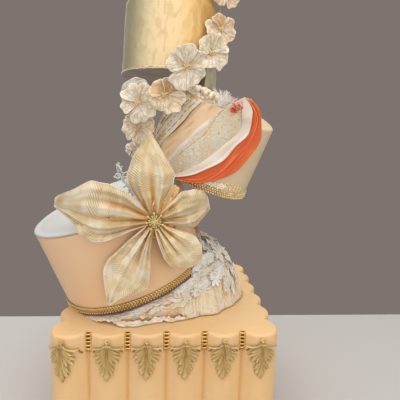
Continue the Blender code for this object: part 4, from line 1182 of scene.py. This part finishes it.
def peachSheetPiece():
    def relief(t, w, *_):
        swell = 0.0006 * (1 + sin(12.6 * t + 2 * w)) + 0.0012 * creases((t * 2.2, w * 0.6, 1), 0.6, 5)
        shade = smoothStep(-0.05, 0.4, grain((t * 2.4, w * 0.9, 3), 0.45, 2) - 0.25 * w)
        return swell + 0.0007 * smoothStep(0.8, 1, abs(w)), max(0.8 * shade, 0.7 * smoothStep(0.7, 1.0, -w))
    shape = betweenCurves("peachLeft", "peachRight", (0.01, 1.02), 0.003, relief)
    put("peachSheet", paperSheet(130, 30, shape, 0.06), peachPaper, ["peach_sheet"], sheetWall)


peachSheetPiece()


def laceSheetPiece():                           # pebbled sugar lace with a dashed seam near its left edge
    def relief(t, w, angle, height):
        pebble = grain((angle * 0.3, height * 0.21, 0), 0.75, 3)
        pebble += 0.6 * grain((angle * 0.42, height * 0.3, 4), 0.36, 8)
        seam = smoothStep(0.1, 0.02, abs(w + 0.52 + 0.1 * sin(t * 9)))
        rise = 0.0006 * pebble + 0.0016 * sin(pi * t) * (1 - w * w) - 0.001 * seam
        # painted shade: darker where the pebbles dip; the dashed seam is marked darker as well
        return rise + 0.0008, 0.14 - 0.6 * pebble + 0.7 * seam * (grain((t, 0, 0), 0.02, 1) > -0.1)
    shape = betweenCurves("peachRight", "whiteLeft", (0.0, 1.0), 0.0033, relief)
    put("laceSheet", paperSheet(190, 110, shape, 0.05), lacePale, ["lace_sheet"], 0.0008)


laceSheetPiece()
borderPaper = plainPaper("borderPaper", (0.77, 0.71, 0.63), (0.73, 0.62, 0.51), 0.45)


def laceFoldPiece():                            # the sheet's left edge rolled over, smooth and white
    def relief(t, w, *_):
        shown = smoothStep(0.0, 0.25, t) * smoothStep(1.0, 0.7, t)
        return (0.0026 * (1 - w * w) + 0.0006 * sin(t * 21)) * shown - 0.0006, 0.1
    shape = betweenCurves("peachRight", "whiteLeft", (-0.06, 0.17), 0.0036, relief, (0.6, 2.5, 1.0))
    put("laceFold", paperSheet(110, 12, shape, 0.1), borderPaper, wall=0.0007)


laceFoldPiece()


def whitePetalPiece():                          # the smooth white border, its top folded over as a flap
    def relief(t, w, *_):
        curl = 0.003 * smoothStep(0.35, 1.0, w) + 0.0012 * sin(pi * t) * (1 - w * w)
        flap = smoothStep(0.72, 0.8, t)
        ripple = 0.0008 * sin(26 * t) * (1 + w) / 2
        rise = curl * (1 - flap) + flap * (0.0022 + 0.004 * (1 - w) / 2 * sin(pi * t)) + ripple
        # painted shade: darker over the left half of the folded flap
        return rise, 0.3 * flap * smoothStep(0.0, -1.0, w)
    shape = betweenCurves("whiteLeft", "whiteRight", (-0.06, 1.04), 0.0044, relief, (1.3, 3.4, 0.5))
    put("whiteBorder", paperSheet(170, 20, shape, 0.1), borderPaper, ["white_petal"], 0.001)


whitePetalPiece()


def frillPieces():
    def inner(t, w, *_):
        crest = sin(2 * pi * 2.6 * t + 1.1 * w + 1.5 * grain((t, 0, 0), 0.2, 1))
        free = (w + 1) / 2
        fold = smoothStep(0.25, 0.0, abs(w - 0.25 - 0.3 * sin(t * 8)))
        rise = 0.002 * free * (1 + 0.8 * crest) + 0.0018 * smoothStep(0.7, 1.0, w) + 0.0016 * fold
        # painted shade: darker at the frill's root and in the troughs between the crests
        return rise, 0.65 - 0.55 * free - 0.3 * crest * free

    def outer(t, w, *_):
        crest = sin(2 * pi * 2.2 * t + 0.8 * w + 1.4 * grain((t, 3, 0), 0.2, 2))
        free = (w + 1) / 2
        crease = smoothStep(0.16, 0.0, abs(w + 0.05 - 0.35 * sin(t * 6.5 + 0.4)))
        rise = 0.0006 + 0.0028 * free * (1 + 0.7 * crest) * sin(pi * min(t + 0.12, 1))
        rise += 0.0019 * crease - 0.001 * smoothStep(0.9, 1.0, w)
        # painted shadow: darker toward the root, under the inner frill's lip, and in the troughs
        return rise, 0.72 * (1 - free) ** 1.3 + 0.25 * (1 - crest) * free * 0.5
    shape = betweenCurves("whiteRight", "frillFold", (-0.1, 1.06), 0.0034, inner, (1.6, 3.0, 2.0))
    sheet = paperSheet(190, 22, shape, 0.09)
    put("frillInner", sheet, orangePaper, ["frill_inner"], sheetWall)
    shape = betweenCurves("frillFold", "frillOuter", (-0.1, 1.0), 0.003, outer, (1.6, 3.3, 0.6))
    sheet = paperSheet(190, 26, shape, 0.09)
    put("frillOuter", sheet, orangePaper, ["frill_outer"], sheetWall)


frillPieces()
print("cream tier's sheets made")
cluster = {"middle": (-0.038, -0.034), "mound": (0.031, 0.022, 0.0055), "pearls": 26, "pearl": 0.0038,
           "spread": 0.026, "shift": (-0.003, -0.009), "crumbs": 52, "crumb": (0.0021, 0.0036)}
sugarWhite = sugarLace("sugarWhite", (0.93, 0.84, 0.72), (0.9, 0.84, 0.76), (0.93, 0.78, 0.62),
                       (0.66, 0.46, 0.16), 420, 0.2, 0, (0.9, 0.76, 0.58))


def onCreamTop(x, y, rise):
    return creamTilt @ Vector((x, y, rimHeight(creamTier, x, y) + rise))


def clusterPieces():
    middle = Vector(cluster["middle"])
    wide, deep, tall = cluster["mound"]
    bm = bmesh.new()
    fold = bm.verts.layers.float.new("fold")
    bmesh.ops.create_uvsphere(bm, u_segments=110, v_segments=36, radius=1)
    for vert in bm.verts:
        crumple = creases((vert.co.x * 2.6, vert.co.y * 2.0, 1.0), 0.55, 4)
        ragged = 0.13 * grain((vert.co.x, vert.co.y, 0), 0.3, 2)
        reach = 1.0 + ragged * hypot(vert.co.x, vert.co.y)
        x, y = middle.x + wide * vert.co.x * reach, middle.y + deep * vert.co.y * reach
        rise = max(tall * vert.co.z + 0.003 * crumple * max(vert.co.z, 0) ** 0.5, 0)
        vert.co = onCreamTop(x, y, 0.0003 + rise)
        # painted shade: darker in the low crumples of the mound
        vert[fold] = unit(0.8 - crumple)
    put("crumpledSugar", bm, sugarWhite, ["pearl_cluster"])
    draw = random.Random(12)
    bm = bmesh.new()
    fold = bm.verts.layers.float.new("fold")
    for index in range(cluster["crumbs"]):
        turn, out = index * spiralTurn, sqrt((index + 0.5) / cluster["crumbs"])
        x, y = middle.x + wide * out * cos(turn), middle.y + deep * out * sin(turn)
        size = draw.uniform(*cluster["crumb"])
        at = onCreamTop(x, y, tall * sqrt(max(1 - out * out, 0)) + size * 0.4)
        for vert in bmesh.ops.create_icosphere(bm, subdivisions=3, radius=1)["verts"]:
            crumple = creases(vert.co, 0.8, index)
            # painted shade: darker where each crumb is dented
            vert[fold] = unit(0.6 - crumple)
            vert.co = at + vert.co * size * (0.8 + 0.28 * crumple)
    put("sugarCrumbs", bm, sugarWhite)
    spots, (aside, forward) = [], cluster["shift"]
    for index in range(1, cluster["pearls"] + 1):
        turn = index * pi * (3 - sqrt(5))
        out = cluster["spread"] * sqrt((index - 0.5) / cluster["pearls"])
        x, y = middle.x + aside + out * cos(turn), middle.y + forward + 0.7 * out * sin(turn)
        size = cluster["pearl"] * draw.uniform(0.72, 1.12)
        sunk = 1 - 0.5 * (out / wide) ** 2
        spots.append((onCreamTop(x, y, tall * sunk + size * 1.75), size))
    put("pearls", beads(spots, 20, 14), pearlSugar)


clusterPieces()
feather = {"foot": (-12, 104), "height": 0.023, "half": 0.007, "lift": 0.006, "shafts": 5, "barbs": 34,
           "radius": 0.00042}


def featherPiece():                             # white feathers: curved shafts with soft barbs
    draw = random.Random(31)
    foot = onSide(creamTier, feather["foot"][0], feather["foot"][1] / 1000, -feather["lift"])
    paths = []
    for shaft in range(feather["shafts"]):
        lean = -0.016 + 0.008 * shaft
        line = []
        for i in range(13):
            t = i / 12
            rise = 0.008 + feather["height"] * t * (0.8 + 0.1 * (shaft % 3))
            sideways = lean * (0.4 + t) + 0.004 * sin(t * 3 + shaft)
            line.append(foot + Vector((sideways, 0.002 * shaft - 0.004, rise)))
        paths.append(line)
        for barb in range(feather["barbs"]):
            t = 0.12 + 0.88 * barb / feather["barbs"]
            root = alongCurve(line, t)
            side = -1 if barb % 2 else 1
            reach = feather["half"] * (0.35 + 0.65 * sin(pi * min(t + 0.1, 1))) * draw.uniform(0.7, 1.25)
            bend = draw.uniform(-0.002, 0.002)
            paths.append([root + Vector((side * reach * s, bend * s, reach * (0.7 * s + 0.5 * s * s)))
                          for s in (0, 0.25, 0.5, 0.75, 1)])
    bm = cords(paths, feather["radius"], sides=1, taper=lambda t: 1 - 0.7 * t)
    put("feathers", bm, whitePaper, ["plume"], move=creamTilt)


featherPiece()
bud = {"middle": (-2.5, 121), "radius": 0.0066, "lift": 0.011, "petals": 11, "wall": 0.0005, "beads": 16}
redSugar = satinBeads("redSugar", (0.62, 0.03, 0.03), (0.7, 0.1, 0.07))


def budPiece():                                 # crumpled coral petals round a few red beads
    draw = random.Random(17)
    middle = onSide(creamTier, bud["middle"][0], bud["middle"][1] / 1000, bud["lift"])
    bm = bmesh.new()
    layers = layersOf(bm)
    for petal in range(bud["petals"]):
        turn = Matrix.Rotation(draw.uniform(0, 6.3), 3, "Y")
        turn = turn @ Matrix.Rotation(draw.uniform(-0.7, 0.9), 3, "X")
        size = bud["radius"] * draw.uniform(0.7, 1.25)
        shift = Vector((draw.uniform(-0.4, 0.4), draw.uniform(-0.5, 0.3), draw.uniform(-0.9, 1.2)))
        for vert, u, w in gridOf(bm, 14, 10):
            wide = 0.25 + 0.75 * sin(pi * min(u * 0.85 + 0.1, 1))
            ruffle = 0.22 * sin(w * 6 + petal) * u
            spot = Vector((w * wide * 0.75, -0.5 * sin(u * 1.9) + ruffle, u * 0.95)) * size
            vert.co = middle + shift * bud["radius"] + turn @ spot
            # painted shade: darker toward each petal's base, deep in the bud
            mark(vert, layers, u, w, unit(0.7 - u), max(0, u * 1.6 - 0.6))
    bmesh.ops.solidify(bm, geom=bm.faces[:], thickness=bud["wall"])
    put("coralBud", bm, coralPaper, ["coral_bud"], move=creamTilt)
    spots = []
    for _ in range(bud["beads"]):
        away = (draw.uniform(-0.6, 0.5), -0.85 + draw.uniform(-0.15, 0.2), draw.uniform(-1.6, 0.9))
        spots.append((creamTilt @ (middle + Vector(away) * bud["radius"]), draw.uniform(0.0007, 0.0011)))
    put("budBeads", beads(spots, 10, 7), redSugar)


budPiece()
print("cream tier dressed")

# the big flower: petals gathered at a gold brooch, all in one plane and laid over the peach tier
hub = {"at": (-0.0172, -0.134, 0.1465), "hole": 0.0065, "clear": 0.0066, "wall": 0.001}
hubMiddle = Vector(hub["at"]) + baseTop
tanPaper = waferPaper("tanPaper", (0.78, 0.48, 0.2), (0.6, 0.32, 0.09), (0.36, 0.14, 0.03),
                      (0.8, 0.6, 0.36), False, 9, 0.5)
# angle, length, lean back, bulge, droop, place of the crease, folds, seed; then the outline on the left and
# the right of the petal's axis: share of its length and half width in millimetres
petals = {
    "petal_up": (
        95, 0.111, 0.04, 0.004, 0, 0.05, 2.3, 1,
        ((0, 3), (0.19, 16), (0.38, 29), (0.53, 32.5), (0.72, 24), (0.88, 10.5), (1, 0.6)),
        ((0, 3), (0.23, 14.5), (0.36, 24.5), (0.5, 29), (0.64, 22.5), (0.81, 13), (1, 0.6))),
    "petal_left": (
        176, 0.137, 0.05, 0.016, 0.004, 0.1, 3.1, 2,
        ((0, 3), (0.19, 12), (0.43, 29), (0.53, 31.5), (0.68, 21), (0.78, 10), (0.92, 4), (1, 1)),
        ((0, 3), (0.12, 17), (0.27, 35), (0.44, 43), (0.6, 43), (0.76, 30), (0.89, 20), (0.98, 13), (1, 9))),
    "petal_low_left": (
        242.5, 0.127, 0.004, 0.002, 0, 0.12, 2.8, 3,
        ((0, 3), (0.15, 6), (0.3, 13), (0.48, 26), (0.67, 35), (0.8, 23), (0.9, 11), (1, 1)),
        ((0, 3), (0.33, 19), (0.57, 29), (0.68, 27.5), (0.84, 15.5), (0.96, 5), (1, 2))),
    "petal_low_right": (
        306, 0.088, 0.036, 0.002, 0, -0.15, 3.4, 4,
        ((0, 3), (0.2, 11), (0.46, 26), (0.58, 30), (0.75, 28), (0.93, 19), (1, 10)),
        ((0, 3), (0.3, 13), (0.57, 21), (0.84, 21), (0.97, 11), (1, 5))),
    "petal_right": (
        12, 0.073, 0.028, 0.002, 0, -0.2, 2.6, 5,
        ((0, 3), (0.34, 20), (0.55, 29), (0.78, 28), (0.94, 21), (1, 11)),
        ((0, 3), (0.25, 8), (0.5, 18), (0.68, 19), (0.92, 8), (1, 4))),
    "petal_small": (
        56, 0.05, 0.018, -0.004, 0, 0.0, 4.2, 6,
        ((0, 3), (0.3, 8), (0.6, 13), (0.85, 11), (1, 3)),
        ((0, 3), (0.4, 9), (0.7, 12), (1, 3)))}


def widthAt(outline, share):                    # smoothed straight lines through the outline's points
    total = 0
    for weight, x in ((1, share - 0.022), (2, share), (1, share + 0.022)):
        x = unit(x)
        for (a, low), (b, high) in zip(outline, outline[1:]):
            if a <= x <= b:
                total += weight * (low + (high - low) * (x - a) / (b - a))
                break
    return total / 4000


def offPeach(point, clear):                     # keeps the petals off the peach tier's side and top
    local = peachTilt.inverted() @ point
    radius = hypot(local.x, local.y)
    sideOver = sideRadius(peachTier, local.z) + clear - radius
    topOver = rimHeight(peachTier, local.x, local.y) + clear - local.z
    if sideOver <= 0 or topOver <= 0 or local.z < -clear:
        return point
    if sideOver < topOver:
        widen(local, (radius + sideOver) / radius)
    else:
        local.z += topOver
    return peachTilt @ local


# painted light and shade: the upper and side petals take the darker copy of the paper, the lower right petal
# the lighter one
petalPapers = {"petal_small": tanPaper, "petal_up": petalWarm, "petal_right": petalWarm,
               "petal_left": petalWarm, "petal_low_right": petalBright, "petal_low_left": petalPaper}


def petalAxes(angle):                           # along a petal and to its left, in the flower's upright plane
    along = Vector((cos(radians(angle)), 0, sin(radians(angle))))
    return along, Vector((-along.z, 0, along.x))


def petalPiece(node):
    angle, length, back, bulge, droop, crease, folds, seed, leftSide, rightSide = petals[node]
    along, left = petalAxes(angle)

    def shape(u, w):
        reach = hub["hole"] + (length - hub["hole"]) * u
        half = widthAt(leftSide if w > 0 else rightSide, reach / length)
        half *= 1 + 0.035 * grain((u * 6, w > 0, seed), 1.0, seed)
        near = (1 - u) ** 1.5
        pull = cos(folds * pi * (w - crease) + 1.8 * grain((w * 1.5, seed, 0), 1.0, 1))
        pull += 0.35 * cos(2.7 * folds * pi * (w - crease) + seed)
        gather = 0.0036 * pull * near * smoothStep(0.0, 0.1, u) + 0.0022 * pull * (1 - u) * sin(pi * u)
        off = abs(w - crease)
        keel = -0.005 * smoothStep(0.5, 0.0, off) * sin(pi * min(u * 1.1, 1)) * (1 - u * 0.5)
        swell = sin(pi * u) * (bulge + droop * max(w, 0))
        soft = 0.004 * grain((u * 2.6, w * 1.5, seed), 1.0, seed) * smoothStep(0.15, 0.6, u)
        ruffle = 0.0034 * sin(6 * u + seed + 2.5 * w) * w * w * smoothStep(0.3, 0.8, u)
        curl = 0.005 * smoothStep(0.7, 1.0, abs(w)) * smoothStep(0.25, 0.6, u)
        curl *= 1 if w * (seed % 2 - 0.5) > 0 else -0.4
        depth = back * u ** 3 - swell + 0.004 * w * w * sin(pi * u) + gather - keel + soft + ruffle + curl
        point = hubMiddle + along * reach + left * (half * w) + Vector((0, depth, 0))
        # painted shade: darker toward the brooch and along the crease, with some random darker patches
        deep = near ** 1.3 * (0.5 + 0.6 * pull) + 0.8 * smoothStep(0.13, 0.0, off) * (1 - u) ** 1.4
        deep += 0.55 * smoothStep(0.22, 0.03, u)
        deep += 0.22 * smoothStep(0.1, 0.6, grain((u * 2.2, w * 1.4, seed * 3), 0.8, 2))
        lift = 0.0022 * pull * near + 0.0026 * grain((u * 3, w * 2, seed), 1.0, 3) + 0.0022 * off ** 2
        return offPeach(point, hub["clear"] + max(lift, -0.003)), deep
    name = "petal" + "".join(word.capitalize() for word in node.split("_")[1:])
    sheet = paperSheet(120, 80, shape, 0.07, (length / 0.1, 0.3))
    put(name, sheet, petalPapers[node], [node], hub["wall"])


for node in petals:
    petalPiece(node)
tuck = {"petals": ((70, 0.036, 0.011), (42, 0.034, 0.009), (118, 0.024, 0.008), (150, 0.022, 0.007),
                   (205, 0.024, 0.008), (270, 0.022, 0.007), (338, 0.024, 0.008)),
        "clear": 0.005, "wall": 0.0006}


def hubTuckPiece():                             # small crinkled petals tucked behind the brooch
    bm = bmesh.new()
    layers = layersOf(bm)
    for number, (angle, length, wide) in enumerate(tuck["petals"]):
        way, left = petalAxes(angle)
        for vert, u, w in gridOf(bm, 24, 14):
            half = wide * (0.35 + 0.65 * sin(pi * min(u * 0.8 + 0.05, 1)))
            half *= 1 - smoothStep(0.85, 1, u) * 0.6
            crinkle = 0.0026 * creases((u * 3.4, w * 2.8, number), 0.5, number)
            spot = hubMiddle + way * (0.004 + length * u) + left * half * w
            spot.y += 0.0035 * (number % 2) - 0.001 + crinkle + 0.006 * u * u
            vert.co = offPeach(spot, tuck["clear"])
            # painted shade: darker toward the brooch, varied by the crinkles
            mark(vert, layers, u, w, unit(1.15 - u * 0.7 - crinkle * 280), max(0, abs(w) * 3 - 2))
    put("hubTuck", bm, tanPaper, wall=tuck["wall"])


hubTuckPiece()
# the cup's outline is in shares of its radius and depth
brooch = {"radius": 0.0114, "depth": 0.008, "back": 0.0175, "stem": 0.0055, "stamens": 15, "stamen": 0.00055,
          "cup": ((0, 0.4), (0.3, 0.42), (0.62, 0.34), (0.86, 0.3), (0.9, 0.2), (0.84, 0.08))}
oldBronze = metalTrim("oldBronze", (0.3, 0.2, 0.07), (0.13, 0.08, 0.02), 0.4, 0.5)


def broochPiece():
    size, depth, stem, back = (brooch[key] for key in ("radius", "depth", "stem", "back"))
    cup = [(size * out, -depth * up) for out, up in brooch["cup"]] + [(stem, 0), (stem, back), (0, back)]
    turn = Matrix.Translation(hubMiddle) @ Matrix.Rotation(radians(-90), 4, "X")
    put("brooch", lathe(cup, 48), oldBronze, ["brooch"], sharp=60, move=turn)
    draw = random.Random(9)
    paths, spots = [], []
    for i in range(brooch["stamens"]):
        a = i / brooch["stamens"] * 2 * pi + draw.uniform(-0.08, 0.08)
        far, rise = size * (0.94 if i % 2 else 0.62), depth * draw.uniform(0.4, 0.62)
        paths.append([polar(r * far, a, -depth * 0.4 - rise * sin(r * 2.4))
                      for r in (0.1, 0.35, 0.6, 0.85, 1.0)])
        spots.append((paths[-1][-1], 0.0015 if i % 2 else 0.0012))
    spots += [(polar(size * 0.11 * sqrt(i), i * spiralTurn, -depth * 0.82), 0.0012) for i in range(7)]
    bm = cords(paths, brooch["stamen"], sides=1)
    merge(bm, beads(spots, 12, 8))
    put("stamens", bm, greenGold, sharp=60, move=turn)


broochPiece()
print("big flower made")

# small flowers: place above the base's top and radius in millimetres, turned right and up, petals
flowers = {"flower_1": ((62, -50, 499), 22, -5, 20, 5), "flower_2": ((76, -28, 457), 23.5, 15, -8, 5),
           "flower_3": ((68.1, -42, 403), 24, 18, 8, 4), "flower_4": ((54.5, -64, 366), 26.5, 25, 10, 4),
           "flower_5": ((20, -101, 340.5), 29, 5, -6, 5), "flower_6": ((-8, -89, 306), 25, 8, 4, 4),
           "flower_7": ((-43.5, -77, 295), 27.5, -10, 0, 5), "flower_8": ((-45, -60, 264), 25, -8, -8, 4),
           "flower_9": ((-52, -66, 233), 11, -35, -10, 4)}
calyx, petalWall = 0.008, 0.0006
# painted shade: the upper petals of the listed flowers are made darker and tan, by how far each petal points
# up
upperPetalShade = {1: 0.5, 2: 0.8, 3: 1.00, 6: 1.00, 8: 0.6}     # how tan the upper petals are
flowerPeach = waferPaper("flowerPeach", (0.79, 0.65, 0.46), (0.5, 0.33, 0.14), (0.56, 0.33, 0.13),
                         (0.88, 0.82, 0.7), False, 12, 0.9)
peachFlowers = (2, 3, 6, 8)


def flowerMatrix(spec):
    place, _, turnRight, turnUp, _ = spec
    look = Matrix.Rotation(radians(turnRight), 4, "Z") @ Matrix.Rotation(radians(90 - turnUp), 4, "X")
    return Matrix.Translation(Vector(place) / 1000 + baseTop) @ look


def flowerPiece(node, number):
    radius, count = flowers[node][1] / 1000, flowers[node][-1]
    look = flowerMatrix(flowers[node])
    draw = random.Random(40 + number)
    bm = bmesh.new()
    layers = layersOf(bm)
    first = draw.uniform(0, 2 * pi)
    for petal in range(count):
        middle = first + petal * 2 * pi / count + draw.uniform(-0.12, 0.12)
        spread = pi / count * draw.uniform(1.06, 1.24)
        size = radius * draw.uniform(0.84, 1.1)
        curl, phase = draw.uniform(0.05, 0.3), draw.uniform(0, 6)
        level, shade = 0.0004 * (petal % 3), (0.45, 1.0, 0.65)[petal % 3]
        shadeAbove = upperPetalShade.get(number, 0.0) * smoothStep(-0.1, 0.7, sin(middle))
        for vert, u, w in gridOf(bm, 26, 30):
            shoulder = max(1 - abs(w) ** 4, 0) ** 0.5
            torn = 0.03 * sin(w * 9 + phase) + 0.13 * grain((w * 1.1, petal * 3.1, number), 0.6, 3)
            far = size * (0.05 + 0.95 * u * (0.6 + 0.4 * shoulder)) * (1 + torn * u)
            turn = middle + spread * w * (0.62 + 0.38 * sin(pi * min(u, 1) * 0.5))
            rib = cos(w * 38) * u
            wave = 0.0018 * sin(w * 5 + phase) * u * u
            wave += 0.0014 * grain((u * 3, w * 2, petal + number * 7), 1.0, 4)
            cup = size * (0.05 * u + 0.2 * u * u - curl * u ** 4) + 0.12 * size * abs(w) * u
            vert.co = polar(far, turn, level + cup + 0.00022 * rib + wave + 0.0022 * w * u)
            deep = unit(0.95 - 1.5 * u - 0.12 * rib + 0.4 * smoothStep(-0.5, -1.0, w)) * shade
            shadeSpread = 0.86 - 0.3 * u + 0.2 * rib + 0.3 * grain((u * 3, w * 3, petal), 0.6, 1)
            rim = max(0.0, 1 - (1 - u) / 0.1, 1 - (1 - abs(w)) / 0.1)
            mark(vert, layers, u, w, max(deep, min(shadeAbove * shadeSpread, 1)), rim)
    bmesh.ops.solidify(bm, geom=bm.faces[:], thickness=petalWall)
    cone = bmesh.ops.create_cone(bm, cap_ends=True, segments=10, radius1=0.0012, radius2=0.0034,
                                 depth=calyx * 0.9)
    bmesh.ops.translate(bm, vec=(0, 0, -calyx * 0.45 + petalWall), verts=cone["verts"])
    finish = flowerPeach if number in peachFlowers else flowerPaper
    put(f"smallFlower{number}", bm, finish, [node], move=look)
    spots = [(look @ polar(radius * 0.045 * sqrt(i), i * spiralTurn, 0.0034 - 0.0004 * sqrt(i)),
              0.001 * (1 + 0.3 * sin(5 * i))) for i in range(13)]
    put(f"flowerEye{number}", beads(spots, 9, 6), pollen)


for number, node in enumerate(flowers):
    flowerPiece(node, number + 1)
loopPaper = waferPaper("loopPaper", (0.46, 0.42, 0.34), (0.4, 0.35, 0.26), (0.4, 0.34, 0.24),
                       (0.84, 0.82, 0.76), False, 7, 0.4)


def paperLoopPiece():                           # a curled slip of wafer paper behind the seventh flower
    look = flowerMatrix(flowers["flower_7"])

    def shape(u, w):
        a, free = radians(58 + 100 * u), (w + 1) / 2
        far = 0.022 + 0.0125 * free * sin(pi * min(max(u, 0.03), 0.97)) ** 0.45
        far += 0.0012 * grain((u * 5, free, 0), 0.8, 2) * free
        rise = -0.004 + 0.0012 * creases((u * 4, w, 0), 0.7, 3) - 0.003 * free
        return look @ polar(far, a, rise), 0.15
    put("paperLoop", paperSheet(48, 14, shape, 0.16), loopPaper, wall=0.0006)


paperLoopPiece()
wire = {"radius": 0.0011, "sag": 0.006, "back": 0.0107}


def wirePiece():
    behind = [flowerMatrix(f) @ Vector((0, 0, -wire["back"])) for f in flowers.values()]
    points = behind[:1]
    for before, after in zip(behind, behind[1:]):
        points += [(before + after) / 2 + Vector((0, wire["sag"], 0)), after]
    count = 8 * (len(points) - 1)
    line = [alongCurve(points, i / count) for i in range(count + 1)]
    put("flowerWire", cords([line], wire["radius"], sides=3), brightGold, ["flower_wire"])


wirePiece()
twig = {"foot": (-0.052, -0.06, 0.167), "tip": (-0.076, -0.062, 0.212), "radius": 0.0014, "shoots": 26}
coolSugar = satinBeads("coolSugar", (0.62, 0.68, 0.69), (0.68, 0.68, 0.58))


def twigPiece():                                # a lacy sugar twig with small beads, behind the upper petal
    foot, tip = (Vector(twig[end]) + baseTop for end in ("foot", "tip"))
    draw = random.Random(3)
    stem = [foot + (tip - foot) * t + Vector((0.003 * sin(t * 7), 0.002 * cos(t * 9), 0))
            for t in (i / 16 for i in range(17))]
    paths, spots = [stem], []
    for i in range(twig["shoots"]):
        t = 0.08 + 0.9 * i / twig["shoots"]
        root = alongCurve(stem, t)
        way = Vector((draw.uniform(-1, 1), draw.uniform(-0.3, 0.3), draw.uniform(-0.3, 0.8))).normalized()
        reach = draw.uniform(0.004, 0.011)
        paths.append([root + way * reach * s + Vector((0, 0, 0.002 * sin(s * 5 + i)))
                      for s in (0, 0.2, 0.4, 0.6, 0.8, 1)])
        spots.append((paths[-1][-1], draw.uniform(0.0009, 0.0016)))
    bm = cords(paths, twig["radius"], sides=2, taper=lambda t: 1.0 - 0.4 * t)
    merge(bm, beads(spots, 10, 7))
    put("sugarTwig", bm, coolSugar, ["wisp"])


twigPiece()
print("flowers made")

table = {"front": 3.0, "back": 0.23, "half": 3}
room = {"colour": (0.205, 0.171, 0.159, 1), "aim": (0, 0, 0.33)}
# where each lamp hangs, its size, watts and colour
lamps = {"key": ((1.2, -1.5, 1.2), 2.2, 18, (1.0, 0.95, 0.88)),
         "fill": ((-1.5, -1.3, 0.9), 2.2, 17, (0.94, 0.96, 1.0)),
         "front": ((0.1, -2.3, 0.32), 1.8, 15, (1.0, 0.97, 0.92)),
         "back": ((-0.3, 1.5, 1.3), 1.6, 17, (1.0, 0.97, 0.94)),
         "over": ((0.0, -0.3, 2.0), 2.0, 33, (1.0, 0.98, 0.96))}


def studio():
    bm = bmesh.new()
    bmesh.ops.create_grid(bm, x_segments=1, y_segments=1, size=1)
    for vert in bm.verts:                       # a table top that ends behind the cake
        depth = table["back"] if vert.co.y > 0 else -table["front"]
        vert.co = Vector((vert.co.x * table["half"], depth, 0))
    finish = Finish("floorPaint", Roughness=0.6)
    tone = finish.blend(finish.noise(1.4, 2) * 0.3, (0.48, 0.475, 0.46), (0.45, 0.45, 0.45))
    finish.feed(Base_Color=tone)
    floor = newObject("floor", meshOf("floor", bm))
    floor.data.materials.append(finish.material)
    for name, (at, size, watts, colour) in lamps.items():
        data = bpy.data.lights.new(name, "AREA")
        data.size, data.energy, data.color = size, watts, colour
        aim = (Vector(room["aim"]) - Vector(at)).to_track_quat("-Z", "Y")
        newObject(name, data).matrix_world = Matrix.Translation(at) @ aim.to_matrix().to_4x4()
    world = bpy.data.worlds.new("softRoom")
    world.use_nodes = True
    world.node_tree.nodes["Background"].inputs["Color"].default_value = room["colour"]
    world.node_tree.nodes["Background"].inputs["Strength"].default_value = 1.0
    bpy.context.scene.world = world
    bpy.context.scene.view_settings.view_transform = "Standard"


studio()
print("stage set")
